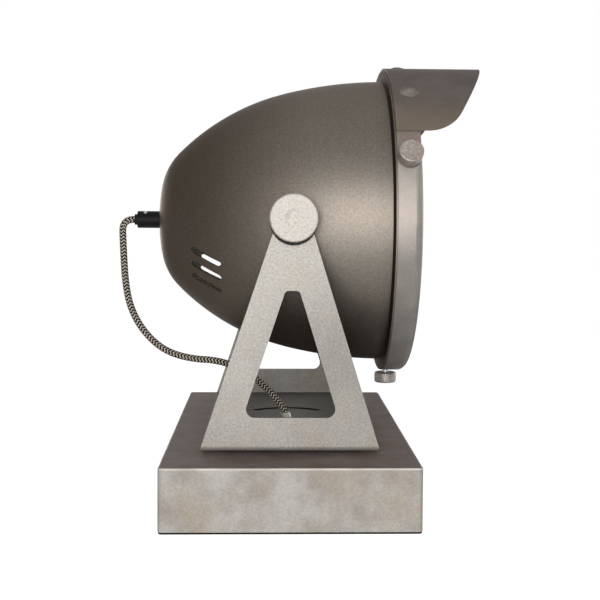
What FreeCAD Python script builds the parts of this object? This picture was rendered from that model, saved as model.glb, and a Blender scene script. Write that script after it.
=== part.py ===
import FreeCAD, Part
import math
import os

# Tabletop searchlight lamp: a spun steel head on a U-shaped yoke that swivels on a sheet-steel base box.
# Millimetres. Origin at the centre of the base's underside, +X where the lamp points, +Z up.

# ---- base box -------------------------------------------------------------------------------------
BASE_X = 208.5              # base, along the beam
BASE_Y = 344.0              # base, across the beam
BASE_H = 50.4               # height of the folded housing above its pad
BASE_WALL = 1.5             # housing sheet
BASE_CORNER_IN_R = 2.5      # inside of the upright corners
BASE_EDGE_R = 1.2           # top edges
PAD_T = 1.6                 # foam pad under the base
PAD_INSET = 0.4             # pad's edge behind the housing's face
PLATE_T = 2.0               # bottom plate
PLATE_GAP = 0.4             # bottom plate to housing walls
TAB_SIZE = 18.0             # welded corner tabs that hold the bottom plate
TAB_T = 2.5
PLATE_SCREW_R = 1.5         # M3 countersunk
PLATE_SCREW_HEAD_R = 2.8
PLATE_SCREW_HEAD_H = 1.6
PLATE_SCREW_LENGTH = 7.0
BALLAST_TAB_GAP = 8.5       # two steel slabs: their ends to the corner tabs
BALLAST_WALL_GAP = 19.5     # their sides to the housing's end walls
BALLAST_Y = 86.0
BALLAST_T = 10.0
BALLAST_BOLT_R = 3.0
BALLAST_BOLT_HEAD_R = 5.0
BALLAST_BOLT_HEAD_H = 4.0
BALLAST_SOCKET_AF = 5.0
BALLAST_SOCKET_DEPTH = 2.0
BALLAST_BOLT_INSET = 20.0   # bolts to the slab's ends
HOLE_SLACK = 0.3            # clearance holes, on the radius
THREAD_SLACK = 0.05         # threads and running fits, on the radius

# ---- inlet, terminals and earth inside the base ---------------------------------------------------
INLET_Z = 20.0              # inlet gland in the wall behind the lamp
INLET_BORE_R = 3.8
INLET_BODY_R = 6.0
INLET_FLANGE_R = 8.5
INLET_FLANGE_T = 2.5
INLET_EDGE_R = 1.5
INLET_DEPTH = 10.0          # behind the flange
TERMINAL_X = -60.0          # centre of the terminal block
TERMINAL_LENGTH = 24.0
TERMINAL_HEIGHT = 15.0
TERMINAL_WAYS = 3
TERMINAL_PITCH = 8.0
TERMINAL_END = 1.0          # body beyond the outer ways
TERMINAL_SCREW_R = 1.75
TERMINAL_SCREW_LENGTH = 3.0
TERMINAL_SCREW_INSET = 6.0  # screws to the block's long sides
TERMINAL_WELL_DEPTH = 6.0
TERMINAL_SLOT_WIDTH = 0.7
TERMINAL_SLOT_DEPTH = 0.8
EARTH_X = 60.0
EARTH_STUD_R = 2.0
EARTH_STUD_LENGTH = 12.0
EARTH_NUT_AF = 7.0
EARTH_NUT_T = 3.2
EARTH_LUG_T = 1.0           # room for a lug under the nut

# ---- swivel ---------------------------------------------------------------------------------------
WASHER_T = 4.3              # friction washer between base and yoke
WASHER_R = 30.0
PIPE_R = 8.0                # hollow swivel pipe, M16
PIPE_SLEEVE_GAP = 1.0       # its bore round the cord's sleeve
PIPE_COLLAR_R = 11.0
PIPE_COLLAR_T = 2.0
PIPE_TAIL = 17.0            # pipe below the base's top sheet
SPRING_WASHER_R = 15.0
SPRING_WASHER_T = 1.6
SWIVEL_NUT_AF = 24.0
SWIVEL_NUT_T = 6.0
STOP_RADIUS = 46.0          # stop pin and its slot, from the swivel axis
STOP_ANGLE = 40.0           # swivel each way
STOP_PIN_R = 2.5
STOP_PIN_EDGE_R = 1.0
STOP_SLACK = 0.5            # slot round the pin
STOP_PIN_STANDS = 2.2       # above the yoke's floor

# ---- yoke -----------------------------------------------------------------------------------------
YOKE_SHEET = 2.0
YOKE_BEND_IN_R = 2.0        # inside of the fold
YOKE_HEIGHT = 191.2         # underside of the floor to the tilt axis
PANEL_HALF_X = 74.0         # half of the panel's foot
PANEL_TIP_R = 12.0          # round top about the tilt axis
PIVOT_X = 2.0               # tilt axis
WINDOW_BAND = 24.7          # metal left along each side of the window
WINDOW_FOOT = 27.7          # underside of the floor to the window
WINDOW_HEAD = 59.5          # window to the tilt axis
WINDOW_FOOT_R = 7.0
WINDOW_TOP_R = 3.5

# ---- tilt knobs -----------------------------------------------------------------------------------
TILT_KNOB_R = 19.75
TILT_KNOB_T = 13.0
TILT_KNOB_EDGE_R = 1.4
TILT_KNOB_BACK_BEVEL = 1.0
TILT_KNOB_DIMPLE_R = 7.5
TILT_KNOB_DIMPLE_T = 0.35
TILT_KNOB_DIMPLE_SLOPE = 3.0
TILT_KNOB_SOCKET = 6.5      # stud's reach into the knob
TILT_STUD_R = 4.0           # M8
TILT_STUD_INSIDE = 14.0     # reach of the stud past the shell's skin
TILT_WASHER_R = 19.5        # rubber washer, wide in its bore, so it hangs low on the stud
TILT_WASHER_T = 2.0
TILT_WASHER_HANG = 2.9      # below the tilt axis
SPACER_R = 12.0             # bush between shell and yoke
SPACER_LENGTH = 12.0
PIVOT_NUT_AF = 14.0
PIVOT_NUT_T = 8.0

# ---- head shell -----------------------------------------------------------------------------------
PIVOT_RISE = 3.2            # tilt axis above the optical axis
SHELL_T = 1.0
SHELL_BACK_X = -119.7       # rear of the shell
SHELL_CROWN_R = 186.0       # rear crown, knuckle, shoulder and body: arcs that run into each other
SHELL_CROWN_TURN = 10.2
SHELL_KNUCKLE_R = 54.8
SHELL_KNUCKLE_TURN = 34.5
SHELL_SHOULDER_R = 209.8
SHELL_SHOULDER_TURN = 30.9
SHELL_BODY_R = 374.8
SHELL_MOUTH_X = 83.6        # where the body ends and the lip turns out
LIP_FLARE_X = 1.4           # what the lip gains in length as it turns out
LIP_RISE = 9.74             # height of the lip
LIP_BEAD_X = 1.2            # width of the bead that the ring rests against
BEAD_STEP = 0.3             # bead below the ring's face
SPIGOT_GAP = 1.2            # front of the spigot to the glass's retainer
VENT_LENGTH = 27.2
VENT_WIDTH = 5.6
VENT_SETBACK = 47.4         # rear of the shell to the middle of the vents
VENT_FIRST_ANGLE = 21.2     # below the horizontal, seen along the axis
VENT_STEP_ANGLE = 9.1
VENT_SLOPE = 27.5           # down towards the mouth, seen from the side
VENT_COUNT = 3

# ---- front ring, glass and visor ------------------------------------------------------------------
RING_T = 1.2
RING_LENGTH = 21.0
RING_NOSE_R = 6.5
RING_FACE = 13.2            # ring's outside to the edge of its mouth
RING_RETURN_GAP = 0.5       # turned-back edge of the mouth to the glass
RING_FIT = 0.4              # ring over spigot, on the radius
RING_SEAT = 0.3             # ring's back edge to the bead
GASKET_T = 1.5
GASKET_SETBACK = 1.5        # gasket behind the edge of the mouth
GLASS_T = 3.0
GLASS_GAP = 2.0             # glass edge inside the ring's wall
GLASS_BEVEL = 0.5
RETAINER_T = 1.2            # sprung split ring behind the glass
RETAINER_LAP = 2.0          # over the edge of the glass
RETAINER_FIT = 0.2          # to the ring's wall
RETAINER_OPEN_ANGLE = 24.0
STRAP_T = 1.0
STRAP_WIDTH = 20.0
STRAP_SEAT = 0.1
STRAP_END_TUCK = 0.2        # strap's round ends inside the rim of the thumb screws
HOOD_T = 1.0
HOOD_EDGE_Z = 75.6          # lower edge of the hood above the optical axis
HOOD_LENGTH = 88.0          # along its crown
HOOD_RAKE = 57.3            # slope of its front edge seen from the side
HOOD_CORNER_R = 35.0
RIVET_SETBACK = 14.5        # ring's back edge to the rivets
RIVET_ANGLES = (52.0, 90.0, 128.0)
RIVET_HEAD_R = 8.3
RIVET_HEAD_H = 2.5
RIVET_SHANK_R = 2.5

# ---- thumb screws that hold ring and visor --------------------------------------------------------
THUMB_R = 10.2
THUMB_LENGTH = 9.5
THUMB_EDGE_R = 1.4
THUMB_NECK_R = 4.5
THUMB_STANDS = 2.5          # knob's inner face above the visor's strap
THUMB_NECK_GAP = 0.15       # neck above the visor's strap
THUMB_SOCKET = 5.5          # stud's reach into the knob
THUMB_STUD_R = 2.5          # M5
THUMB_TIP_GAP = 0.3
VISOR_THUMB_ANGLE = 22.5    # above the horizontal
RING_THUMB_ANGLE = 270.0    # straight below
VISOR_THUMB_SETBACK = 10.0  # ring's back edge to the two upper screws
RING_THUMB_SETBACK = 6.0    # and to the lower one

# ---- lampholder and bulb --------------------------------------------------------------------------
NIPPLE_R = 5.0              # M10
NIPPLE_CORD_GAP = 0.35
NIPPLE_OUT = 15.0           # behind the shell
NIPPLE_IN = 11.0            # inside the shell
NIPPLE_NUT_AF = 14.0
NIPPLE_NUT_T = 3.0
GRIP_R = 7.9
GRIP_LENGTH = 21.1
GRIP_COLLAR_R = 5.0
GRIP_COLLAR_LENGTH = 2.6
GRIP_EDGE_R = 0.8
GRIP_SCREW_ANGLE = 50.0     # above the horizontal, on the near side
GRIP_SCREW_R = 1.6
GRIP_SCREW_STANDS = 1.0
GRIP_SCREW_GAP = 0.2        # its point to the nipple
GRIP_SCREW_INSET = 0.1      # its side to the nipple's end
HOLDER_R = 19.5
HOLDER_CAP_LENGTH = 27.0
HOLDER_SKIRT_LENGTH = 29.0
HOLDER_SKIRT_TAPER = 6.0
HOLDER_WALL = 2.6
HOLDER_NECK_R = 9.0
HOLDER_NECK_LENGTH = 5.0
HOLDER_BEVEL = 3.0
HOLDER_FLOOR_SLOPE = 2.0
HOLDER_INSERT_T = 5.0
CONTACT_T = 0.8
CONTACT_WIDTH = 5.5
CONTACT_HEIGHT = 8.0
CONTACT_STEP = 10.0         # centre contact to side contact
BULB_CAP_R = 13.1
BULB_CAP_LENGTH = 24.0
BULB_CAP_CONTACT_R = 4.5
BULB_CAP_CONTACT_H = 2.5
BULB_CAP_SLOPE = 2.0
BULB_R = 30.0
BULB_LENGTH = 108.0
BULB_NECK_R = 12.2
BULB_NECK_LENGTH = 6.0
BULB_NECK_HOLLOW = 0.7      # dip between neck and ball
BULB_BALL_TURN = 128.0      # arc of the ball, from its front
EARTH_TAG_T = 0.8
EARTH_TAG_RIM = 3.5
EARTH_TAG_WIDTH = 5.0
EARTH_TAG_LENGTH = 14.0

# ---- cord between head and yoke -------------------------------------------------------------------
CORD_R = 3.25
SLEEVE_SLACK = 0.25
SLEEVE_T = 0.8
SLEEVE_STANDS = 4.6         # above the yoke's floor
ARC_SHARE = 0.45            # of the shorter run, taken by an arc at each end
# Points of the free cord in the plane Y = 0, from the grip on the head to the inside of the swivel pipe.
CORD_ROUTE = (
    (-143.4, 244.3), (-148.3, 244.3), (-152.5, 241.8), (-154.9, 237.4), (-154.7, 227.8),
    (-153.9, 209.8), (-152.4, 184.6), (-147.5, 160.4), (-134.8, 138.0), (-115.6, 120.8),
    (-91.0, 113.4), (-65.8, 112.2), (-41.0, 103.6), (-19.8, 86.4), (-8.2, 72.4),
    (0.0, 60.6), (0.0, 46.6),
)
# Points of the same cord inside the base, from the pipe to the terminal block.
TAIL_ROUTE = ((0.0, 46.6), (0.0, 28.6), (-12.0, 14.0), (-32.0, 10.6), (-48.0, 10.6))

# ---- cutting tools --------------------------------------------------------------------------------
CUT_PAST = 1.0              # a tool reaches this far past the faces that it cuts
FAR_AWAY = 400.0            # longer than any piece


def skin_arcs(inset):
    """The shell's arcs from rear to mouth, moved inwards by inset: centre x and r, radius, two headings."""
    arcs = []
    x, r, heading = SHELL_BACK_X, 0.0, 90.0
    for radius, turn in ((SHELL_CROWN_R, SHELL_CROWN_TURN), (SHELL_KNUCKLE_R, SHELL_KNUCKLE_TURN),
                         (SHELL_SHOULDER_R, SHELL_SHOULDER_TURN)):
        a, b = math.radians(heading), math.radians(heading - turn)
        cx, cr = x + radius * math.sin(a), r - radius * math.cos(a)
        arcs.append((cx, cr, radius - inset, heading, heading - turn))
        x, r, heading = cx - radius * math.sin(b), cr + radius * math.cos(b), heading - turn
    a = math.radians(heading)
    cx, cr = x + SHELL_BODY_R * math.sin(a), r - SHELL_BODY_R * math.cos(a)
    radius = SHELL_BODY_R - inset
    arcs.append((cx, cr, radius, heading, math.degrees(math.asin((cx - SHELL_MOUTH_X) / radius))))
    return arcs


def arc_point(arc, heading):
    """The (x, r) point of an arc where it has this heading."""
    cx, cr, radius = arc[:3]
    a = math.radians(heading)
    return cx - radius * math.sin(a), cr + radius * math.cos(a)


def skin_r(x):
    """Radius of the shell's outer skin at x."""
    for arc in skin_arcs(0):
        if x <= arc_point(arc, arc[4])[0]:
            break
    cx, cr, radius = arc[:3]
    return cr + math.sqrt(radius ** 2 - (x - cx) ** 2)


# ---- levels and places that follow from the sizes above -------------------------------------------
BASE_TOP_Z = PAD_T + BASE_H
PLATE_TOP_Z = PAD_T + PLATE_T
BASE_CORNER_R = BASE_CORNER_IN_R + BASE_WALL
BALLAST_X = BASE_X - 2 * (BASE_WALL + TAB_SIZE + BALLAST_TAB_GAP)
BALLAST_OFFSET_Y = BASE_Y / 2 - BASE_WALL - BALLAST_WALL_GAP - BALLAST_Y / 2
SLEEVE_IN_R = CORD_R + SLEEVE_SLACK
SLEEVE_OUT_R = SLEEVE_IN_R + SLEEVE_T
PIPE_BORE_R = SLEEVE_OUT_R + PIPE_SLEEVE_GAP
STOP_SLOT_R = STOP_PIN_R + STOP_SLACK
YOKE_FLOOR_Z = BASE_TOP_Z + WASHER_T
YOKE_FLOOR_TOP_Z = YOKE_FLOOR_Z + YOKE_SHEET
YOKE_BEND_R = YOKE_BEND_IN_R + YOKE_SHEET
WINDOW_HEIGHT = YOKE_HEIGHT - WINDOW_FOOT - WINDOW_HEAD
WINDOW_BOTTOM_Z = YOKE_FLOOR_Z + WINDOW_FOOT
WINDOW_TOP_Z = WINDOW_BOTTOM_Z + WINDOW_HEIGHT
PIVOT_Z = YOKE_FLOOR_Z + YOKE_HEIGHT
AXIS_Z = PIVOT_Z - PIVOT_RISE
SKIN_Y = math.sqrt(skin_r(PIVOT_X) ** 2 - PIVOT_RISE ** 2)  # shell's skin at the tilt axis
YOKE_OUTER_Y = SKIN_Y + SPACER_LENGTH + YOKE_SHEET          # outer face of each panel
VENT_X = SHELL_BACK_X + VENT_SETBACK
RING_R = skin_r(SHELL_MOUTH_X) + LIP_RISE + BEAD_STEP
RING_MOUTH_R = RING_R - RING_FACE
GASKET_IN_R = RING_MOUTH_R + GASKET_SETBACK
SPIGOT_R = RING_R - RING_T - RING_FIT
BEAD_FRONT_X = SHELL_MOUTH_X + LIP_FLARE_X + LIP_BEAD_X
RING_BACK_X = BEAD_FRONT_X + RING_SEAT
RING_FRONT_X = RING_BACK_X + RING_LENGTH
GASKET_FRONT_X = RING_FRONT_X - RING_T
GLASS_FRONT_X = GASKET_FRONT_X - GASKET_T
GLASS_BACK_X = GLASS_FRONT_X - GLASS_T
GLASS_R = RING_R - RING_T - GLASS_GAP
SPIGOT_FRONT_X = GLASS_BACK_X - RETAINER_T - SPIGOT_GAP
STRAP_R = RING_R + STRAP_SEAT + STRAP_T
HOOD_R = STRAP_R + HOOD_T
HOOD_TIP_X = RING_BACK_X + HOOD_LENGTH
RIVET_X = RING_BACK_X + RIVET_SETBACK
THUMB_SEAT_R = STRAP_R + THUMB_STANDS
NIPPLE_BORE_R = CORD_R + NIPPLE_CORD_GAP
NIPPLE_BACK_X = SHELL_BACK_X - NIPPLE_OUT
GRIP_BACK_X = SHELL_BACK_X - GRIP_LENGTH
GRIP_SCREW_X = NIPPLE_BACK_X + GRIP_SCREW_INSET + GRIP_SCREW_R
# The nut's corners touch the crown's hollow side, so the nut stands off the centre by the crown's rise.
NUT_SEAT_X = SHELL_BACK_X + SHELL_T + (NIPPLE_NUT_AF / math.sqrt(3)) ** 2 / (2 * (SHELL_CROWN_R - SHELL_T))
HOLDER_BACK_X = NUT_SEAT_X + NIPPLE_NUT_T + EARTH_TAG_T
HOLDER_JOIN_X = HOLDER_BACK_X + HOLDER_CAP_LENGTH
HOLDER_FRONT_X = HOLDER_JOIN_X + HOLDER_SKIRT_LENGTH
BULB_BACK_X = HOLDER_JOIN_X + CONTACT_T + THREAD_SLACK

X_AXIS = FreeCAD.Vector(1, 0, 0)
Y_AXIS = FreeCAD.Vector(0, 1, 0)
Z_AXIS = FreeCAD.Vector(0, 0, 1)
OPTICAL_CENTRE = FreeCAD.Vector(0, 0, AXIS_Z)


def vec(x, y, z):
    return FreeCAD.Vector(x, y, z)


def save(node, shape):
    """Write one node's STEP file and say what it holds."""
    if not shape.isValid():
        print("INVALID", node)
    shape.exportStep("parts/" + node + ".step")
    print(f"{node:22s} solids {len(shape.Solids)}  volume {shape.Volume:12.1f}")


def group(solids):
    return Part.makeCompound(solids)


def cylinder(radius, length, base, direction):
    return Part.makeCylinder(radius, length, base, direction)


def drill(radius, depth, base, direction):
    """A round cutting tool for a hole of this depth, which reaches a little past both of its ends."""
    return cylinder(radius, depth + 2 * CUT_PAST, base - direction * CUT_PAST, direction)


def tube(outer, inner, length, base, direction):
    return cylinder(outer, length, base, direction).cut(cylinder(inner, length, base, direction))


def block(x0, x1, y0, y1, z0, z1):
    return Part.makeBox(x1 - x0, y1 - y0, z1 - z0, vec(x0, y0, z0))


def hexagon(across_flats, length, base, direction):
    """A hexagonal prism on an axis."""
    radius = across_flats / math.sqrt(3.0)
    corners = [vec(radius * math.cos(math.radians(60 * i)), radius * math.sin(math.radians(60 * i)), 0)
               for i in range(7)]
    prism = Part.Face(Part.makePolygon(corners)).extrude(vec(0, 0, length))
    prism.Placement = FreeCAD.Placement(base, FreeCAD.Rotation(Z_AXIS, direction))
    return prism


def radial(angle):
    """Unit vector across the optical axis: 0 degrees points away from the viewer's side, 90 up."""
    return vec(0, math.cos(math.radians(angle)), math.sin(math.radians(angle)))


def turned(edges, centre=OPTICAL_CENTRE, axis=X_AXIS):
    """Revolve a closed (x, r) outline, given as edges in the plane of X and Z, about the optical axis."""
    face = Part.Face(Part.Wire(edges))
    solid = face.revolve(vec(0, 0, 0), X_AXIS, 360)
    if solid.Volume < 0:
        solid.reverse()
    solid.Placement = FreeCAD.Placement(centre, FreeCAD.Rotation(X_AXIS, axis))
    return solid


def flat(x, r):
    return vec(x, 0, r)


def chain(points):
    """Straight edges through (x, r) points."""
    return [Part.LineSegment(flat(*a), flat(*b)).toShape() for a, b in zip(points, points[1:])]


def turned_points(points, centre=OPTICAL_CENTRE, axis=X_AXIS):
    return turned(chain(points + [points[0]]), centre, axis)


def routed_wire(points):
    """Straight runs joined by tangent arcs, each as large as its two runs allow."""
    corners = [vec(x, 0, z) for x, z in points]
    edges = []
    radii = []
    last = corners[0]
    for before, here, after in zip(corners, corners[1:], corners[2:]):
        way_in = (here - before).normalize()
        way_out = (after - here).normalize()
        turn = way_in.getAngle(way_out)
        reach = ARC_SHARE * min((here - before).Length, (after - here).Length)
        radius = reach / math.tan(turn / 2)
        start = here - way_in * reach
        end = here + way_out * reach
        inward = (way_out - way_in).normalize()
        middle = here + inward * (radius / math.cos(turn / 2) - radius)
        edges.append(Part.LineSegment(last, start).toShape())
        edges.append(Part.Arc(start, middle, end).toShape())
        radii.append(round(radius, 1))
        last = end
    edges.append(Part.LineSegment(last, corners[-1]).toShape())
    return edges, radii


def swept(edges, radius):
    """A round bar along edges that run into each other."""
    wire = Part.Wire(edges)
    first = edges[0]
    start = first.Vertexes[0].Point
    way = first.tangentAt(first.FirstParameter)
    section = Part.Wire([Part.Circle(start, way, radius).toShape()])
    pipe = wire.makePipeShell([section], True, True)
    return Part.Solid(pipe) if not pipe.Solids else pipe.Solids[0]


# ---- base -----------------------------------------------------------------------------------------
def base_housing():
    """Folded and welded box, open below."""
    hx, hy = BASE_X / 2, BASE_Y / 2
    box = block(-hx, hx, -hy, hy, PAD_T, BASE_TOP_Z)
    upright = [e for e in box.Edges if abs(e.tangentAt(e.FirstParameter).z) > 0.9]
    box = box.makeFillet(BASE_CORNER_R, upright)
    top = [e for e in box.Edges if min(v.Z for v in e.Vertexes) > BASE_TOP_Z - 0.01]
    box = box.makeFillet(BASE_EDGE_R, top)
    w = BASE_WALL
    inside = block(-hx + w, hx - w, -hy + w, hy - w, PAD_T - CUT_PAST, BASE_TOP_Z - w)
    upright = [e for e in inside.Edges if abs(e.tangentAt(e.FirstParameter).z) > 0.9]
    box = box.cut(inside.makeFillet(BASE_CORNER_IN_R, upright))
    box = box.cut(drill(PIPE_R + THREAD_SLACK, w, vec(0, 0, BASE_TOP_Z - w), Z_AXIS))
    box = box.cut(drill(STOP_PIN_R, w, vec(0, STOP_RADIUS, BASE_TOP_Z - w), Z_AXIS))
    return box.cut(drill(INLET_BODY_R + THREAD_SLACK, w, vec(0, hy - w, INLET_Z), Y_AXIS))


def plate_corners():
    return [(sx, sy) for sx in (-1, 1) for sy in (-1, 1)]


def plate_screw_places():
    inset = BASE_WALL + TAB_SIZE / 2
    return [(sx * (BASE_X / 2 - inset), sy * (BASE_Y / 2 - inset)) for sx, sy in plate_corners()]


def base_corner_tabs():
    """Tabs welded into the housing's four corners, which take the bottom plate's screws."""
    tabs = []
    for (sx, sy), (x, y) in zip(plate_corners(), plate_screw_places()):
        cx, cy = sx * (BASE_X / 2 - BASE_WALL), sy * (BASE_Y / 2 - BASE_WALL)
        tab = block(min(cx, cx - sx * TAB_SIZE), max(cx, cx - sx * TAB_SIZE),
                    min(cy, cy - sy * TAB_SIZE), max(cy, cy - sy * TAB_SIZE),
                    PLATE_TOP_Z, PLATE_TOP_Z + TAB_T)
        near_corner = [e for e in tab.Edges
                       if abs(e.tangentAt(e.FirstParameter).z) > 0.9
                       and abs(e.Vertexes[0].X - cx) < 0.01 and abs(e.Vertexes[0].Y - cy) < 0.01]
        tab = tab.makeFillet(BASE_CORNER_R, near_corner)
        tabs.append(tab.cut(drill(PLATE_SCREW_R + THREAD_SLACK, TAB_T, vec(x, y, PLATE_TOP_Z), Z_AXIS)))
    return group(tabs)


def ballast_bolt_places():
    from_middle = BALLAST_X / 2 - BALLAST_BOLT_INSET
    return [(sx * from_middle, sy * BALLAST_OFFSET_Y) for sx, sy in plate_corners()]


def base_plate():
    hx = BASE_X / 2 - BASE_WALL - PLATE_GAP
    hy = BASE_Y / 2 - BASE_WALL - PLATE_GAP
    plate = block(-hx, hx, -hy, hy, PAD_T, PLATE_TOP_Z)
    upright = [e for e in plate.Edges if abs(e.tangentAt(e.FirstParameter).z) > 0.9]
    plate = plate.makeFillet(BASE_CORNER_R, upright)
    for x, y in plate_screw_places():
        plate = plate.cut(plate_screw(x, y, HOLE_SLACK))
    for x, y in ballast_bolt_places():
        plate = plate.cut(drill(BALLAST_BOLT_R + THREAD_SLACK, PLATE_T, vec(x, y, PAD_T), Z_AXIS))
    return plate.cut(drill(EARTH_STUD_R, PLATE_T, vec(EARTH_X, 0, PAD_T), Z_AXIS))


def plate_screw(x, y, slack):
    """Countersunk screw, point up; slack widens it into its own hole."""
    head = Part.makeCone(PLATE_SCREW_HEAD_R + slack, PLATE_SCREW_R + slack, PLATE_SCREW_HEAD_H,
                         vec(x, y, PAD_T), Z_AXIS)
    shank = cylinder(PLATE_SCREW_R + slack, PLATE_SCREW_LENGTH, vec(x, y, PAD_T), Z_AXIS)
    return head.fuse(shank)


def base_pad():
    hx, hy = BASE_X / 2 - PAD_INSET, BASE_Y / 2 - PAD_INSET
    pad = block(-hx, hx, -hy, hy, 0, PAD_T)
    upright = [e for e in pad.Edges if abs(e.tangentAt(e.FirstParameter).z) > 0.9]
    return pad.makeFillet(BASE_CORNER_R - PAD_INSET, upright)


def ballast_weights():
    slabs = []
    for side in (-1, 1):
        y = side * BALLAST_OFFSET_Y
        slab = block(-BALLAST_X / 2, BALLAST_X / 2, y - BALLAST_Y / 2, y + BALLAST_Y / 2,
                     PLATE_TOP_Z, PLATE_TOP_Z + BALLAST_T)
        for bx, by in ballast_bolt_places():
            slab = slab.cut(drill(BALLAST_BOLT_R + HOLE_SLACK, BALLAST_T, vec(bx, by, PLATE_TOP_Z), Z_AXIS))
        slabs.append(slab)
    return group(slabs)


def ballast_bolts():
    top = PLATE_TOP_Z + BALLAST_T
    head_top = top + BALLAST_BOLT_HEAD_H
    return group([cylinder(BALLAST_BOLT_R, top - PAD_T, vec(x, y, PAD_T), Z_AXIS)
                  .fuse(cylinder(BALLAST_BOLT_HEAD_R, BALLAST_BOLT_HEAD_H, vec(x, y, top), Z_AXIS))
                  .cut(hexagon(BALLAST_SOCKET_AF, BALLAST_SOCKET_DEPTH + CUT_PAST,
                               vec(x, y, head_top - BALLAST_SOCKET_DEPTH), Z_AXIS))
                  for x, y in ballast_bolt_places()])


def inlet_gland():
    """Flanged bush for a supply lead, in the wall behind the lamp."""
    face = BASE_Y / 2
    body = cylinder(INLET_BODY_R, INLET_DEPTH, vec(0, face - INLET_DEPTH, INLET_Z), Y_AXIS)
    flange = cylinder(INLET_FLANGE_R, INLET_FLANGE_T, vec(0, face, INLET_Z), Y_AXIS)
    rim = [e for e in flange.Edges if e.BoundBox.YMin > face + INLET_FLANGE_T - 0.01]
    flange = flange.makeFillet(INLET_EDGE_R, rim)
    bore = drill(INLET_BORE_R, INLET_DEPTH + INLET_FLANGE_T, vec(0, face - INLET_DEPTH, INLET_Z), Y_AXIS)
    return body.fuse(flange).cut(bore)


def terminal_places():
    first = -TERMINAL_PITCH * (TERMINAL_WAYS - 1) / 2
    from_middle = TERMINAL_LENGTH / 2 - TERMINAL_SCREW_INSET
    return [(TERMINAL_X + sx * from_middle, first + i * TERMINAL_PITCH)
            for sx in (-1, 1) for i in range(TERMINAL_WAYS)]


def terminal_block():
    top = PLATE_TOP_Z + TERMINAL_HEIGHT
    half_width = TERMINAL_WAYS * TERMINAL_PITCH / 2 + TERMINAL_END
    body = block(TERMINAL_X - TERMINAL_LENGTH / 2, TERMINAL_X + TERMINAL_LENGTH / 2,
                 -half_width, half_width, PLATE_TOP_Z, top)
    for x, y in terminal_places():
        body = body.cut(cylinder(TERMINAL_SCREW_R + HOLE_SLACK, TERMINAL_WELL_DEPTH,
                                 vec(x, y, top - TERMINAL_WELL_DEPTH), Z_AXIS))
    return body


def terminal_screws():
    bottom = PLATE_TOP_Z + TERMINAL_HEIGHT - TERMINAL_WELL_DEPTH
    top = bottom + TERMINAL_SCREW_LENGTH
    reach = TERMINAL_SCREW_R + CUT_PAST
    half_slot = TERMINAL_SLOT_WIDTH / 2
    screws = []
    for x, y in terminal_places():
        screw = cylinder(TERMINAL_SCREW_R, TERMINAL_SCREW_LENGTH, vec(x, y, bottom), Z_AXIS)
        slot = block(x - reach, x + reach, y - half_slot, y + half_slot,
                     top - TERMINAL_SLOT_DEPTH, top + CUT_PAST)
        screws.append(screw.cut(slot))
    return group(screws)


def earth_stud():
    stud = cylinder(EARTH_STUD_R, EARTH_STUD_LENGTH, vec(EARTH_X, 0, PAD_T), Z_AXIS)
    return stud.fuse(hexagon(EARTH_NUT_AF, EARTH_NUT_T, vec(EARTH_X, 0, PLATE_TOP_Z + EARTH_LUG_T), Z_AXIS))


# ---- swivel ---------------------------------------------------------------------------------------
def friction_washer():
    return tube(WASHER_R, PIPE_COLLAR_R + HOLE_SLACK, WASHER_T, vec(0, 0, BASE_TOP_Z), Z_AXIS)


def swivel_pipe():
    """Hollow threaded pipe with a collar, welded under the yoke's floor; the cord runs through it."""
    bottom = BASE_TOP_Z - BASE_WALL - PIPE_TAIL
    pipe = cylinder(PIPE_R, YOKE_FLOOR_Z - bottom, vec(0, 0, bottom), Z_AXIS)
    collar = cylinder(PIPE_COLLAR_R, PIPE_COLLAR_T, vec(0, 0, YOKE_FLOOR_Z - PIPE_COLLAR_T), Z_AXIS)
    bore = cylinder(PIPE_BORE_R, YOKE_FLOOR_Z - bottom, vec(0, 0, bottom), Z_AXIS)
    return pipe.fuse(collar).cut(bore)


def swivel_spring_washer():
    top = BASE_TOP_Z - BASE_WALL
    return tube(SPRING_WASHER_R, PIPE_R + HOLE_SLACK, SPRING_WASHER_T,
                vec(0, 0, top - SPRING_WASHER_T), Z_AXIS)


def swivel_nut():
    top = BASE_TOP_Z - BASE_WALL - SPRING_WASHER_T
    nut = hexagon(SWIVEL_NUT_AF, SWIVEL_NUT_T, vec(0, 0, top - SWIVEL_NUT_T), Z_AXIS)
    return nut.cut(cylinder(PIPE_R, SWIVEL_NUT_T, vec(0, 0, top - SWIVEL_NUT_T), Z_AXIS))


def stop_pin():
    """Pin in the base's top that runs in the slot of the yoke's floor."""
    bottom = BASE_TOP_Z - BASE_WALL
    top = YOKE_FLOOR_TOP_Z + STOP_PIN_STANDS
    pin = cylinder(STOP_PIN_R, top - bottom, vec(0, STOP_RADIUS, bottom), Z_AXIS)
    rim = [e for e in pin.Edges if e.BoundBox.ZMin > top - 0.01]
    return pin.makeFillet(STOP_PIN_EDGE_R, rim)


# ---- yoke -----------------------------------------------------------------------------------------
def tangent_point(corner_x, side):
    """Where the line from a panel's foot corner touches the round tip."""
    dx, dz = corner_x - PIVOT_X, YOKE_FLOOR_Z - PIVOT_Z
    distance = math.hypot(dx, dz)
    towards = math.atan2(dz, dx)
    spread = math.acos(PANEL_TIP_R / distance)
    angle = towards + side * spread
    return PIVOT_X + PANEL_TIP_R * math.cos(angle), PIVOT_Z + PANEL_TIP_R * math.sin(angle)


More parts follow.
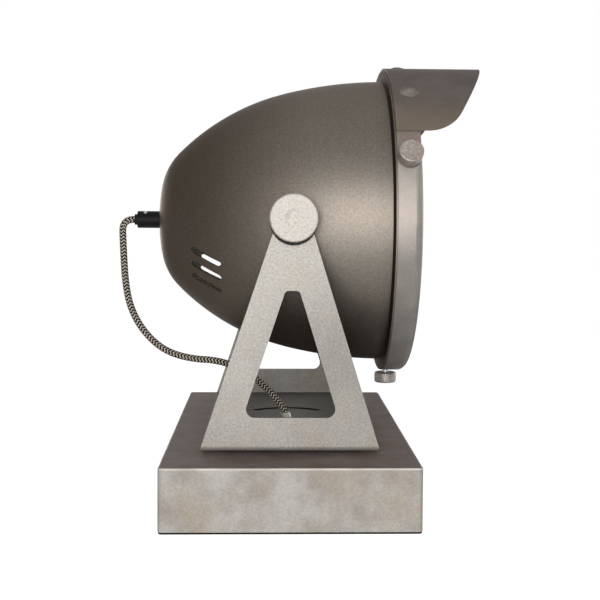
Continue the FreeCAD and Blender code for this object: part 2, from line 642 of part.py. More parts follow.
def panel_prism():
    """The tapered outline of both panels, with the round tip, right across the yoke."""
    left, right = -PANEL_HALF_X, PANEL_HALF_X
    lx, lz = tangent_point(left, -1)
    rx, rz = tangent_point(right, 1)
    outline = chain([(lx, lz), (left, YOKE_FLOOR_Z), (right, YOKE_FLOOR_Z), (rx, rz)])
    outline.append(Part.Arc(flat(rx, rz), flat(PIVOT_X, PIVOT_Z + PANEL_TIP_R), flat(lx, lz)).toShape())
    prism = Part.Face(Part.Wire(outline)).extrude(vec(0, 2 * YOKE_OUTER_Y, 0))
    prism.translate(vec(0, -YOKE_OUTER_Y, 0))
    return prism


def window_prism():
    """The window follows the panel's two sides at a constant width of metal."""

    def side_x(foot_x, tangent, z, side):
        tx, tz = tangent
        slope = (tx - foot_x) / (tz - YOKE_FLOOR_Z)
        inset = WINDOW_BAND * math.sqrt(1 + slope * slope)
        return foot_x + slope * (z - YOKE_FLOOR_Z) + side * inset

    left = tangent_point(-PANEL_HALF_X, -1)
    right = tangent_point(PANEL_HALF_X, 1)
    corners = [(side_x(-PANEL_HALF_X, left, WINDOW_BOTTOM_Z, 1), WINDOW_BOTTOM_Z),
               (side_x(PANEL_HALF_X, right, WINDOW_BOTTOM_Z, -1), WINDOW_BOTTOM_Z),
               (side_x(PANEL_HALF_X, right, WINDOW_TOP_Z, -1), WINDOW_TOP_Z),
               (side_x(-PANEL_HALF_X, left, WINDOW_TOP_Z, 1), WINDOW_TOP_Z)]
    reach = YOKE_OUTER_Y + CUT_PAST
    prism = Part.Face(Part.Wire(chain(corners + [corners[0]]))).extrude(vec(0, 2 * reach, 0))
    prism.translate(vec(0, -reach, 0))
    across = [e for e in prism.Edges if abs(e.tangentAt(e.FirstParameter).y) > 0.9]
    foot = [e for e in across if e.Vertexes[0].Z < WINDOW_BOTTOM_Z + 0.01]
    prism = prism.makeFillet(WINDOW_FOOT_R, foot)
    across = [e for e in prism.Edges if abs(e.tangentAt(e.FirstParameter).y) > 0.9]
    head = [e for e in across if e.Vertexes[0].Z > WINDOW_TOP_Z - 0.01]
    return prism.makeFillet(WINDOW_TOP_R, head)


def stop_slot():
    """Curved slot about the swivel axis, as long as the swivel's travel."""
    bottom = vec(0, 0, YOKE_FLOOR_Z - CUT_PAST)
    depth = YOKE_SHEET + 2 * CUT_PAST
    start = 90 - STOP_ANGLE
    outer = Part.makeCylinder(STOP_RADIUS + STOP_SLOT_R, depth, bottom, Z_AXIS, 2 * STOP_ANGLE)
    inner = Part.makeCylinder(STOP_RADIUS - STOP_SLOT_R, depth, bottom, Z_AXIS, 2 * STOP_ANGLE)
    arc = outer.cut(inner)
    arc.rotate(vec(0, 0, 0), Z_AXIS, start)
    for angle in (start, start + 2 * STOP_ANGLE):
        a = math.radians(angle)
        end = vec(STOP_RADIUS * math.cos(a), STOP_RADIUS * math.sin(a), YOKE_FLOOR_Z)
        arc = arc.fuse(drill(STOP_SLOT_R, YOKE_SHEET, end, Z_AXIS))
    return arc


def yoke_bracket():
    """One strip of sheet folded up at both ends, tapered, with a window in each panel."""
    y, top = YOKE_OUTER_Y, PIVOT_Z + PANEL_TIP_R + CUT_PAST

    def u_shape(half, low, bend):
        body = block(-FAR_AWAY / 2, FAR_AWAY / 2, -half, half, low, top)
        fold = [e for e in body.Edges
                if abs(e.tangentAt(e.FirstParameter).x) > 0.9 and e.Vertexes[0].Z < low + 0.01]
        return body.makeFillet(bend, fold)

    strip = u_shape(y, YOKE_FLOOR_Z, YOKE_BEND_R)
    strip = strip.cut(u_shape(y - YOKE_SHEET, YOKE_FLOOR_TOP_Z, YOKE_BEND_IN_R))
    yoke = strip.common(panel_prism()).cut(window_prism()).cut(stop_slot())
    yoke = yoke.cut(drill(PIPE_BORE_R, YOKE_SHEET, vec(0, 0, YOKE_FLOOR_Z), Z_AXIS))
    pivot = drill(TILT_STUD_R + THREAD_SLACK, 2 * y, vec(PIVOT_X, -y, PIVOT_Z), Y_AXIS)
    return yoke.cut(pivot).removeSplitter()


# ---- tilt knobs, one at each end of the tilt axis -------------------------------------------------
def tilt_knob(side):
    face = YOKE_OUTER_Y + TILT_WASHER_T
    dimple_floor = TILT_KNOB_T - TILT_KNOB_DIMPLE_T
    points = [(0, 0), (0, TILT_KNOB_R - TILT_KNOB_BACK_BEVEL), (TILT_KNOB_BACK_BEVEL, TILT_KNOB_R),
              (TILT_KNOB_T, TILT_KNOB_R), (TILT_KNOB_T, TILT_KNOB_DIMPLE_R),
              (dimple_floor, TILT_KNOB_DIMPLE_R - TILT_KNOB_DIMPLE_SLOPE), (dimple_floor, 0)]
    knob = turned_points(points, vec(PIVOT_X, side * face, PIVOT_Z), vec(0, side, 0))
    front = abs(face + TILT_KNOB_T)
    rim = [e for e in knob.Edges if abs(abs(e.BoundBox.YMin) - front) < 0.01
           and abs(abs(e.BoundBox.YMax) - front) < 0.01 and e.BoundBox.XLength > 2 * TILT_KNOB_R - 0.1]
    knob = knob.makeFillet(TILT_KNOB_EDGE_R, rim)
    socket = cylinder(TILT_STUD_R, TILT_KNOB_SOCKET, vec(PIVOT_X, side * face, PIVOT_Z), vec(0, side, 0))
    return knob.cut(socket)


def tilt_stud(side):
    start = SKIN_Y - TILT_STUD_INSIDE
    end = YOKE_OUTER_Y + TILT_WASHER_T + TILT_KNOB_SOCKET
    return cylinder(TILT_STUD_R, end - start, vec(PIVOT_X, side * start, PIVOT_Z), vec(0, side, 0))


def tilt_washer(side):
    """Loose rubber washer between yoke and knob, just clear of the top of the stud."""
    return tube(TILT_WASHER_R, TILT_STUD_R + TILT_WASHER_HANG + HOLE_SLACK, TILT_WASHER_T,
                vec(PIVOT_X, side * YOKE_OUTER_Y, PIVOT_Z - TILT_WASHER_HANG), vec(0, side, 0))


def pivot_spacer(side, outside):
    """Turned bush between shell and yoke, shaped to the shell's skin; the blank starts inside the skin."""
    start = SKIN_Y - SPACER_R
    bush = tube(SPACER_R, TILT_STUD_R + THREAD_SLACK, YOKE_OUTER_Y - YOKE_SHEET - start,
                vec(PIVOT_X, side * start, PIVOT_Z), vec(0, side, 0))
    return largest(bush.cut(outside))


def pivot_nut(side, inside):
    """Nut welded to the shell's inner skin."""
    start = SKIN_Y - PIVOT_NUT_T - SHELL_T
    blank = PIVOT_NUT_T + PIVOT_NUT_AF
    nut = hexagon(PIVOT_NUT_AF, blank, vec(PIVOT_X, side * start, PIVOT_Z), vec(0, side, 0))
    nut = nut.cut(cylinder(TILT_STUD_R + THREAD_SLACK, FAR_AWAY, vec(PIVOT_X, 0, PIVOT_Z), vec(0, side, 0)))
    return largest(nut.common(inside))


def largest(shape):
    return max(shape.Solids, key=lambda solid: solid.Volume)


# ---- head -----------------------------------------------------------------------------------------
def shell_skin(inset):
    """The rear-to-mouth line of the shell, moved inwards by inset, with its two ends."""
    arcs = skin_arcs(inset)
    edges = []
    for arc in arcs:
        first, last = arc[3:]
        corners = [arc_point(arc, heading) for heading in (first, (first + last) / 2, last)]
        edges.append(Part.Arc(*[flat(*corner) for corner in corners]).toShape())
    return edges, (SHELL_BACK_X + inset, 0.0), arc_point(arcs[-1], arcs[-1][4])


def shell_plug(inset):
    """Everything inside the shell's skin, moved inwards by inset, up to the mouth."""
    edges, start, end = shell_skin(inset)
    edges += chain([end, (end[0], 0), start])
    return turned(edges)


def vent(angle, side):
    """Slot with round ends, cut straight through the shell's wall; seen from the side all slope alike."""
    half = VENT_LENGTH / 2 - VENT_WIDTH / 2
    depth = skin_r(VENT_X)
    slot = block(VENT_X - half, VENT_X + half, -VENT_WIDTH / 2, VENT_WIDTH / 2, 0, depth)
    for x in (VENT_X - half, VENT_X + half):
        slot = slot.fuse(cylinder(VENT_WIDTH / 2, depth, vec(x, 0, 0), Z_AXIS))
    slot.translate(vec(0, 0, depth / 2))
    widening = (skin_r(VENT_X + half) - skin_r(VENT_X - half)) / (2 * half)
    down = math.radians(angle)
    missing = math.tan(math.radians(VENT_SLOPE)) - widening * math.sin(down)
    slot.rotate(vec(VENT_X, 0, 0), Z_AXIS, -side * math.degrees(math.atan(missing / math.cos(down))))
    lean = 90 + angle
    slot.rotate(vec(0, 0, 0), X_AXIS, side * lean)
    slot.translate(OPTICAL_CENTRE)
    return slot


def head_shell():
    """Spun steel shell: crown, shoulder and body in one sweep, then a flared bead and the ring's spigot."""
    outer, start, mouth = shell_skin(0)
    inner, inner_start, inner_mouth = shell_skin(SHELL_T)
    bead_x = SHELL_MOUTH_X + LIP_FLARE_X
    bead_r = RING_R - BEAD_STEP
    lip = chain([mouth, (bead_x, bead_r), (BEAD_FRONT_X, bead_r), (BEAD_FRONT_X, SPIGOT_R),
                 (SPIGOT_FRONT_X, SPIGOT_R), (SPIGOT_FRONT_X, SPIGOT_R - SHELL_T),
                 (bead_x + SHELL_T, SPIGOT_R - SHELL_T), (SHELL_MOUTH_X + SHELL_T, inner_mouth[1]),
                 inner_mouth])
    back = chain([inner_start, start])
    shell = turned(outer + lip + inner[::-1] + back)
    shell = shell.cut(drill(NIPPLE_R + THREAD_SLACK, SHELL_T, vec(SHELL_BACK_X, 0, AXIS_Z), X_AXIS))
    pivot = cylinder(TILT_STUD_R + THREAD_SLACK, FAR_AWAY, vec(PIVOT_X, -FAR_AWAY / 2, PIVOT_Z), Y_AXIS)
    shell = shell.cut(pivot)
    for side in (-1, 1):
        for i in range(VENT_COUNT):
            shell = shell.cut(vent(VENT_FIRST_ANGLE + i * VENT_STEP_ANGLE, side))
    return largest(shell)


def holder_nipple():
    return tube(NIPPLE_R, NIPPLE_BORE_R, NIPPLE_OUT + NIPPLE_IN, vec(NIPPLE_BACK_X, 0, AXIS_Z), X_AXIS)


def nipple_nut():
    start = vec(NUT_SEAT_X, 0, AXIS_Z)
    nut = hexagon(NIPPLE_NUT_AF, NIPPLE_NUT_T, start, X_AXIS)
    return nut.cut(cylinder(NIPPLE_R, NIPPLE_NUT_T, start, X_AXIS))


def earth_tag():
    """Ring terminal under the nipple's nut."""
    start = NUT_SEAT_X + NIPPLE_NUT_T
    ring = tube(NIPPLE_R + EARTH_TAG_RIM, NIPPLE_R, EARTH_TAG_T, vec(start, 0, AXIS_Z), X_AXIS)
    blade = block(start, start + EARTH_TAG_T, -EARTH_TAG_WIDTH / 2, EARTH_TAG_WIDTH / 2,
                  AXIS_Z - NIPPLE_R - EARTH_TAG_LENGTH, AXIS_Z - NIPPLE_R - EARTH_TAG_RIM / 2)
    return ring.fuse(blade).removeSplitter()


def cord_grip():
    """Moulded grip screwed on the nipple, with a collar that the cord leaves."""
    back = GRIP_BACK_X
    body = cylinder(GRIP_R, GRIP_LENGTH, vec(back, 0, AXIS_Z), X_AXIS)
    rim = [e for e in body.Edges if e.BoundBox.XMax < back + 0.01]
    body = body.makeFillet(GRIP_EDGE_R, rim)
    collar = cylinder(GRIP_COLLAR_R, GRIP_COLLAR_LENGTH, vec(back - GRIP_COLLAR_LENGTH, 0, AXIS_Z), X_AXIS)
    grip = body.fuse(collar)
    grip = grip.cut(cylinder(NIPPLE_R, NIPPLE_OUT, vec(NIPPLE_BACK_X, 0, AXIS_Z), X_AXIS))
    grip = grip.cut(cylinder(CORD_R, GRIP_LENGTH + GRIP_COLLAR_LENGTH,
                             vec(back - GRIP_COLLAR_LENGTH, 0, AXIS_Z), X_AXIS))
    return grip.cut(grip_screw_bar(CORD_R, GRIP_R + CUT_PAST, GRIP_SCREW_R))


def grip_screw_bar(inner, outer, radius):
    way = radial(180 - GRIP_SCREW_ANGLE)
    return cylinder(radius, outer - inner, vec(GRIP_SCREW_X, 0, AXIS_Z) + way * inner, way)


def cord_grip_screw():
    return grip_screw_bar(NIPPLE_R + GRIP_SCREW_GAP, GRIP_R + GRIP_SCREW_STANDS, GRIP_SCREW_R)


def lampholder_cap():
    """Rear half of the lampholder, threaded on the nipple."""
    inner = HOLDER_R - HOLDER_WALL
    neck = HOLDER_BACK_X + HOLDER_NECK_LENGTH
    shoulder = neck + HOLDER_BEVEL
    return turned_points([
        (HOLDER_BACK_X, NIPPLE_R), (HOLDER_BACK_X, HOLDER_NECK_R), (neck, HOLDER_NECK_R),
        (shoulder, HOLDER_R - HOLDER_BEVEL), (shoulder + HOLDER_BEVEL, HOLDER_R), (HOLDER_JOIN_X, HOLDER_R),
        (HOLDER_JOIN_X, inner), (shoulder + 2 * HOLDER_FLOOR_SLOPE, inner),
        (shoulder + HOLDER_FLOOR_SLOPE, inner - HOLDER_BEVEL), (shoulder, NIPPLE_R)])


def lampholder_insert():
    """Ceramic disc across the joint of the holder, carrying the contacts."""
    start = vec(HOLDER_JOIN_X - HOLDER_INSERT_T, 0, AXIS_Z)
    return cylinder(HOLDER_R - HOLDER_WALL - THREAD_SLACK, HOLDER_INSERT_T, start, X_AXIS)


def contact_strip(y, slack):
    """One brass strip in front of the insert; slack widens it into its own recess."""
    half_width, half_height = CONTACT_WIDTH / 2 + slack, CONTACT_HEIGHT / 2 + slack
    return block(HOLDER_JOIN_X, HOLDER_JOIN_X + CONTACT_T + slack, y - half_width, y + half_width,
                 AXIS_Z - half_height, AXIS_Z + half_height)


def lampholder_contacts():
    """Centre and side contact."""
    return group([contact_strip(0.0, 0.0), contact_strip(CONTACT_STEP, 0.0)])


def lampholder_skirt():
    """Front half of the lampholder, a sleeve round the bulb's cap."""
    bore = BULB_CAP_R + THREAD_SLACK
    skirt = turned_points([
        (HOLDER_JOIN_X, bore), (HOLDER_JOIN_X, HOLDER_R), (HOLDER_FRONT_X - HOLDER_SKIRT_TAPER, HOLDER_R),
        (HOLDER_FRONT_X, HOLDER_R - HOLDER_BEVEL), (HOLDER_FRONT_X, bore)])
    return skirt.cut(contact_strip(CONTACT_STEP, HOLE_SLACK))


def bulb_cap():
    tip = BULB_BACK_X + BULB_CAP_CONTACT_H
    return turned_points([
        (BULB_BACK_X, 0), (BULB_BACK_X, BULB_CAP_CONTACT_R), (tip, BULB_CAP_CONTACT_R + BULB_CAP_SLOPE),
        (tip + BULB_CAP_SLOPE, BULB_CAP_R), (tip + BULB_CAP_LENGTH, BULB_CAP_R), (tip + BULB_CAP_LENGTH, 0)])


def bulb_glass():
    """Pear-shaped envelope: a neck that swells into a ball."""
    foot = BULB_BACK_X + BULB_CAP_CONTACT_H + BULB_CAP_LENGTH
    front = BULB_BACK_X + BULB_LENGTH
    ball = front - BULB_R
    turn = math.radians(BULB_BALL_TURN)
    join = (ball + BULB_R * math.cos(turn), BULB_R * math.sin(turn))
    neck_end = (foot + BULB_NECK_LENGTH, BULB_NECK_R)
    middle = ((neck_end[0] + join[0]) / 2, (neck_end[1] + join[1]) / 2 - BULB_NECK_HOLLOW)
    crown = (ball + BULB_R * math.cos(turn / 2), BULB_R * math.sin(turn / 2))
    outline = chain([(foot, 0), (foot, BULB_NECK_R), neck_end])
    outline.append(Part.Arc(flat(*neck_end), flat(*middle), flat(*join)).toShape())
    outline.append(Part.Arc(flat(*join), flat(*crown), flat(front, 0)).toShape())
    return turned(outline + chain([(front, 0), (foot, 0)]))


# ---- front ring -----------------------------------------------------------------------------------
def thumb_hole(angle, x):
    """Hole through the ring and what lies on it, for one thumb screw."""
    way = radial(angle)
    start = RING_R - RING_T
    return drill(THUMB_STUD_R + THREAD_SLACK, STRAP_R - start, vec(x, 0, AXIS_Z) + way * start, way)


def thumb_places():
    """Each thumb screw's name, angle about the optical axis, place along it, and if it holds the strap."""
    upper_x = RING_BACK_X + VISOR_THUMB_SETBACK
    lower_x = RING_BACK_X + RING_THUMB_SETBACK
    return (("visor_knob_far", VISOR_THUMB_ANGLE, upper_x, True),
            ("visor_knob_near", 180 - VISOR_THUMB_ANGLE, upper_x, True),
            ("ring_knob", RING_THUMB_ANGLE, lower_x, False))


def nose_line(inset):
    """The ring's outside from its band round the nose, moved inwards by inset, as two ends and an arc."""
    radius = RING_NOSE_R - inset
    centre_x, centre_r = RING_FRONT_X - RING_NOSE_R, RING_R - RING_NOSE_R
    reach = radius * math.sqrt(0.5)
    band, front = (centre_x, centre_r + radius), (centre_x + radius, centre_r)
    middle = (centre_x + reach, centre_r + reach)
    return band, front, Part.Arc(flat(*band), flat(*middle), flat(*front)).toShape()


def front_ring():
    """Drawn bezel: a band over the spigot, a round nose, and an edge turned back round the mouth."""
    band, front, nose = nose_line(0)
    in_band, in_front, in_nose = nose_line(RING_T)
    back = GLASS_FRONT_X + RING_RETURN_GAP
    edges = chain([(RING_BACK_X, in_band[1]), (RING_BACK_X, band[1]), band]) + [nose]
    edges += chain([front, (front[0], RING_MOUTH_R), (back, RING_MOUTH_R), (back, RING_MOUTH_R + RING_T),
                    (in_front[0], RING_MOUTH_R + RING_T), in_front])
    edges += [in_nose] + chain([in_band, (RING_BACK_X, in_band[1])])
    ring = turned(edges)
    for name, angle, x, on_strap in thumb_places():
        ring = ring.cut(thumb_hole(angle, x))
    return ring


def glass_gasket():
    return tube(RING_R - RING_NOSE_R, GASKET_IN_R, GASKET_T, vec(GLASS_FRONT_X, 0, AXIS_Z), X_AXIS)


def front_glass():
    rim = GLASS_R - GLASS_BEVEL
    return turned_points([
        (GLASS_BACK_X, 0), (GLASS_BACK_X, rim), (GLASS_BACK_X + GLASS_BEVEL, GLASS_R),
        (GLASS_FRONT_X - GLASS_BEVEL, GLASS_R), (GLASS_FRONT_X, rim), (GLASS_FRONT_X, 0)])


def glass_retainer():
    """Sprung ring, split at the bottom, that bears on the ring's wall and keeps the glass on its gasket."""
    back = GLASS_BACK_X - RETAINER_T
    retainer = tube(RING_R - RING_T - RETAINER_FIT, GLASS_R - RETAINER_LAP, RETAINER_T,
                    vec(back, 0, AXIS_Z), X_AXIS)
    spread = math.tan(math.radians(RETAINER_OPEN_ANGLE / 2)) * FAR_AWAY
    corners = [vec(back - CUT_PAST, 0, AXIS_Z), vec(back - CUT_PAST, -spread, AXIS_Z - FAR_AWAY),
               vec(back - CUT_PAST, spread, AXIS_Z - FAR_AWAY)]
    wedge = Part.Face(Part.makePolygon(corners + [corners[0]]))
    return retainer.cut(wedge.extrude(vec(RETAINER_T + 2 * CUT_PAST, 0, 0)))


def arc_band(outer, inner, x0, x1, first, last):
    """Part of a tube about the optical axis, between two angles."""
    band = Part.makeCylinder(outer, x1 - x0, vec(0, 0, 0), Z_AXIS, last - first)
    band = band.cut(Part.makeCylinder(inner, x1 - x0, vec(0, 0, 0), Z_AXIS, last - first))
    band.rotate(vec(0, 0, 0), Z_AXIS, first)
    turn = FreeCAD.Rotation(Y_AXIS, Z_AXIS, X_AXIS, "ZYX")
    band.Placement = FreeCAD.Placement(vec(x0, 0, AXIS_Z), turn).multiply(band.Placement)
    return band


def strap_corners(angle, x):
    """What comes off one end of the strap, so that it is round about its thumb screw."""
    way = radial(angle)
    past = math.degrees(math.asin(THUMB_R / RING_R))
    outer, inner = STRAP_R + CUT_PAST, RING_R - CUT_PAST
    end = (angle - past, angle) if way.y > 0 else (angle, angle + past)
    corners = arc_band(outer, inner, RING_BACK_X - CUT_PAST, RING_BACK_X + STRAP_WIDTH + CUT_PAST, *end)
    return corners.cut(cylinder(THUMB_R - STRAP_END_TUCK, RING_R, vec(x, 0, AXIS_Z) + way * RING_R / 2, way))


def visor_strap():
    """Strap over the top of the ring; the two upper thumb screws hold its round ends."""
    past = math.degrees(math.asin((THUMB_R - STRAP_END_TUCK) / RING_R))
    last = thumb_places()[1][1] + past
    strap = arc_band(STRAP_R, RING_R + STRAP_SEAT, RING_BACK_X, RING_BACK_X + STRAP_WIDTH,
                     VISOR_THUMB_ANGLE - past, last)
    for name, angle, x, on_strap in thumb_places()[:2]:
        strap = strap.cut(strap_corners(angle, x)).cut(thumb_hole(angle, x))
    for angle in RIVET_ANGLES:
        strap = strap.cut(rivet_bar(angle, RIVET_SHANK_R))
    return strap


def rivet_bar(angle, radius):
    way = radial(angle)
    start = RING_R + STRAP_SEAT
    return cylinder(radius, HOOD_R - start, vec(RIVET_X, 0, AXIS_Z) + way * start, way)


def visor_hood():
    """Rolled sheet over the strap, cut back below with a raked front edge and rounded corners."""
    hood = tube(HOOD_R, STRAP_R, HOOD_LENGTH + CUT_PAST, vec(RING_BACK_X, 0, AXIS_Z), X_AXIS)
    low = AXIS_Z + HOOD_EDGE_Z
    high = AXIS_Z + HOOD_R
    rake = math.tan(math.radians(HOOD_RAKE))
    corner_x = HOOD_TIP_X - (high - low) / rake
    outline = [(RING_BACK_X, low), (corner_x, low), (HOOD_TIP_X + CUT_PAST / rake, high + CUT_PAST),
               (RING_BACK_X, high + CUT_PAST)]
    reach = HOOD_R + CUT_PAST
    side = Part.Face(Part.Wire(chain(outline + [outline[0]]))).extrude(vec(0, 2 * reach, 0))
    side.translate(vec(0, -reach, 0))
    corner = [e for e in side.Edges if abs(e.tangentAt(e.FirstParameter).y) > 0.9
              and abs(e.Vertexes[0].X - corner_x) < 0.01 and abs(e.Vertexes[0].Z - low) < 0.01]
    hood = hood.common(side.makeFillet(HOOD_CORNER_R, corner))
    for angle in RIVET_ANGLES:
        hood = hood.cut(rivet_bar(angle, RIVET_SHANK_R))
    return largest(hood)


def visor_rivets():
    """Domed rivets through hood and strap; each head's foot is shaped to the hood's curve."""
    rivets = []
    ball = (RIVET_HEAD_R ** 2 + RIVET_HEAD_H ** 2) / (2 * RIVET_HEAD_H)
    drop = RIVET_HEAD_R ** 2 / HOOD_R
    for angle in RIVET_ANGLES:
        way = radial(angle)
        seat = vec(RIVET_X, 0, AXIS_Z) + way * HOOD_R
        dome = Part.makeSphere(ball, seat - way * (ball - RIVET_HEAD_H))
        dome = dome.common(cylinder(RIVET_HEAD_R + CUT_PAST, ball, seat, way))
        foot = cylinder(RIVET_HEAD_R, drop, seat - way * drop, way)
        foot = foot.cut(cylinder(HOOD_R, FAR_AWAY, vec(-FAR_AWAY / 2, 0, AXIS_Z), X_AXIS))
        rivets.append(dome.fuse(foot).fuse(rivet_bar(angle, RIVET_SHANK_R)).removeSplitter())
    return group(rivets)


def thumb_knob(angle, x):
    """Turned knob; its axis is radial to the ring."""
    points = [(0, THUMB_STUD_R), (0, THUMB_R), (THUMB_LENGTH, THUMB_R), (THUMB_LENGTH, 0),
              (THUMB_SOCKET, 0), (THUMB_SOCKET, THUMB_STUD_R)]
    knob = turned_points(points, vec(0, 0, 0), X_AXIS)
    rims = [e for e in knob.Edges if e.BoundBox.YLength > 2 * THUMB_R - 0.1 and e.BoundBox.XLength < 0.01]
    knob = knob.makeFillet(THUMB_EDGE_R, rims)
    way = radial(angle)
    knob.Placement = FreeCAD.Placement(vec(x, 0, AXIS_Z) + way * THUMB_SEAT_R, FreeCAD.Rotation(X_AXIS, way))
    return knob


def thumb_stud(angle, x, on_strap):
    """Threaded stud from the knob down to the spigot, with a neck where it holds the strap down."""
    way = radial(angle)
    centre = vec(x, 0, AXIS_Z)
    start = SPIGOT_R + THUMB_TIP_GAP
    stud = cylinder(THUMB_STUD_R, THUMB_SEAT_R + THUMB_SOCKET - start, centre + way * start, way)
    if on_strap:
        foot = STRAP_R + THUMB_NECK_GAP
        stud = stud.fuse(cylinder(THUMB_NECK_R, THUMB_SEAT_R - foot, centre + way * foot, way))
    return stud


# ---- cord -----------------------------------------------------------------------------------------
def cords():
    """The free cord, the clear sleeve where it enters the yoke's floor, and its tail in the base."""
    free, radii = routed_wire(CORD_ROUTE)
    length = sum(e.Length for e in free)
    cord = swept(free, CORD_R)
    print("cord length", round(length, 1), "radii", radii)
    print("cord volume over section times length", round(cord.Volume / (math.pi * CORD_R ** 2 * length), 5))
    last = free[-2:]
    sleeve = swept(last, SLEEVE_OUT_R).cut(swept(last, SLEEVE_IN_R))
    around = PIPE_BORE_R * 2
    sleeve = sleeve.common(block(-around, around, -around, around, 0, YOKE_FLOOR_TOP_Z + SLEEVE_STANDS))
    tail_edges, tail_radii = routed_wire(TAIL_ROUTE)
    print("tail length", round(sum(e.Length for e in tail_edges), 1), "radii", tail_radii)
    return cord, sleeve, swept(tail_edges, CORD_R)


# ---- everything -----------------------------------------------------------------------------------
os.makedirs("parts", exist_ok=True)
save("base_housing", base_housing())
save("base_corner_tabs", base_corner_tabs())
save("base_plate", base_plate())
save("base_pad", base_pad())
save("base_plate_screws", group([plate_screw(x, y, 0) for x, y in plate_screw_places()]))
save("ballast_weights", ballast_weights())
save("ballast_bolts", ballast_bolts())
save("inlet_gland", inlet_gland())
save("terminal_block", terminal_block())
save("terminal_screws", terminal_screws())
save("earth_stud", earth_stud())
save("friction_washer", friction_washer())
save("swivel_spring_washer", swivel_spring_washer())
save("stop_pin", stop_pin())
save("yoke_bracket", yoke_bracket())
save("swivel_pipe", swivel_pipe())
save("swivel_nut", swivel_nut())

head_cord, cord_sleeve, cord_tail = cords()
save("head_cord", head_cord)
save("cord_sleeve", cord_sleeve)
save("cord_tail", cord_tail)

skin = shell_plug(0)
hollow = shell_plug(SHELL_T)
for side_name, side in (("near", -1), ("far", 1)):
    save("tilt_knob_" + side_name, tilt_knob(side))
    save("tilt_stud_" + side_name, tilt_stud(side))
    save("tilt_washer_" + side_name, tilt_washer(side))
    save("pivot_spacer_" + side_name, pivot_spacer(side, skin))
    save("pivot_nut_" + side_name, pivot_nut(side, hollow))

save("head_shell", head_shell())
save("holder_nipple", holder_nipple())
save("nipple_nut", nipple_nut())
save("earth_tag", earth_tag())
save("cord_grip", cord_grip())
save("cord_grip_screw", cord_grip_screw())
save("lampholder_cap", lampholder_cap())
save("lampholder_insert", lampholder_insert())
save("lampholder_contacts", lampholder_contacts())
save("lampholder_skirt", lampholder_skirt())
save("bulb_cap", bulb_cap())
save("bulb_glass", bulb_glass())
save("front_ring", front_ring())
save("glass_gasket", glass_gasket())
save("front_glass", front_glass())
save("glass_retainer", glass_retainer())
save("visor_strap", visor_strap())
save("visor_hood", visor_hood())
save("visor_rivets", visor_rivets())
for name, angle, x, on_strap in thumb_places():
    save(name, thumb_knob(angle, x))
    save(name + "_stud", thumb_stud(angle, x, on_strap))
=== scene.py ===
import math

import bpy
from mathutils import Euler, Matrix, Vector


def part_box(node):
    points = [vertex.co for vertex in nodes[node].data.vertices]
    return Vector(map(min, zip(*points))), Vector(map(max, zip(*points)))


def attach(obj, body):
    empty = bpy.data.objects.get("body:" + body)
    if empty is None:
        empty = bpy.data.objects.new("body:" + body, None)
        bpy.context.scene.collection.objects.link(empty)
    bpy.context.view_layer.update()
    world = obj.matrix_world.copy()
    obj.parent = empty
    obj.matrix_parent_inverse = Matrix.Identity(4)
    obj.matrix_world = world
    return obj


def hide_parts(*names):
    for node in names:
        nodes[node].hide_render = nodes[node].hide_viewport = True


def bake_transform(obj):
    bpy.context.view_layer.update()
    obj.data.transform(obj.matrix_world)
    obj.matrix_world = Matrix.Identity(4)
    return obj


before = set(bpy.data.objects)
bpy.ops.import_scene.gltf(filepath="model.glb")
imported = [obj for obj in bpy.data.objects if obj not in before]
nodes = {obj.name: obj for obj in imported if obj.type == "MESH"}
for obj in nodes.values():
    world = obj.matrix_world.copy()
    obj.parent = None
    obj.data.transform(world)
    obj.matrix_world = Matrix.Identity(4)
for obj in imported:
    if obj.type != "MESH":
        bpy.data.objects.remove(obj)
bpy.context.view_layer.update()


# ---- base box ---------------------------------------------------------------------------------------
# A box folded from 1.5 mm mild steel, welded at its corners and open below. Satin paint with metal
# flakes makes it a warm grey, faintly blotchy and finely speckled; a bright line along its top edges is a
# painted highlight, and its top is painted darker as painted shade.
def linear(hex_colour):
    """Linear RGBA of an sRGB hex colour."""
    channels = [int(hex_colour[i:i + 2], 16) / 255 for i in (1, 3, 5)]
    return [c / 12.92 if c <= 0.04045 else ((c + 0.055) / 1.055) ** 2.4 for c in channels] + [1.0]


def add(tree, kind, sockets=None, **settings):
    """Add a node. Sockets take a value or (node, output); settings are the node's own options.

    Map Range's sockets are 0 the value, 1 and 2 from, 3 and 4 to. Mix's are 0 the share, 6 and 7 the colours.
    """
    made = tree.nodes.new(kind)
    for name, value in settings.items():
        setattr(made, name, value)
    for name, value in (sockets or {}).items():
        if isinstance(value, tuple):
            tree.links.new(value[0].outputs[value[1]], made.inputs[name])
        else:
            made.inputs[name].default_value = value
    return made


def finish_on(names, finish):
    """Give CAD nodes a finish."""
    for name in names:
        for slot in nodes[name].material_slots:
            slot.material = finish


def new_finish(name, **sockets):
    """A material, its node tree and its shader, with what is the same all over set on the shader."""
    made = bpy.data.materials.new(name)
    made.use_nodes = True
    shader = made.node_tree.nodes["Principled BSDF"]
    for socket, value in sockets.items():
        shader.inputs[socket.replace("_", " ")].default_value = value
    return made, made.node_tree, shader


# A noise texture mostly stays between these; a narrower range gives its patches firmer edges.
NOISE_LOW, NOISE_HIGH = 0.3, 0.7


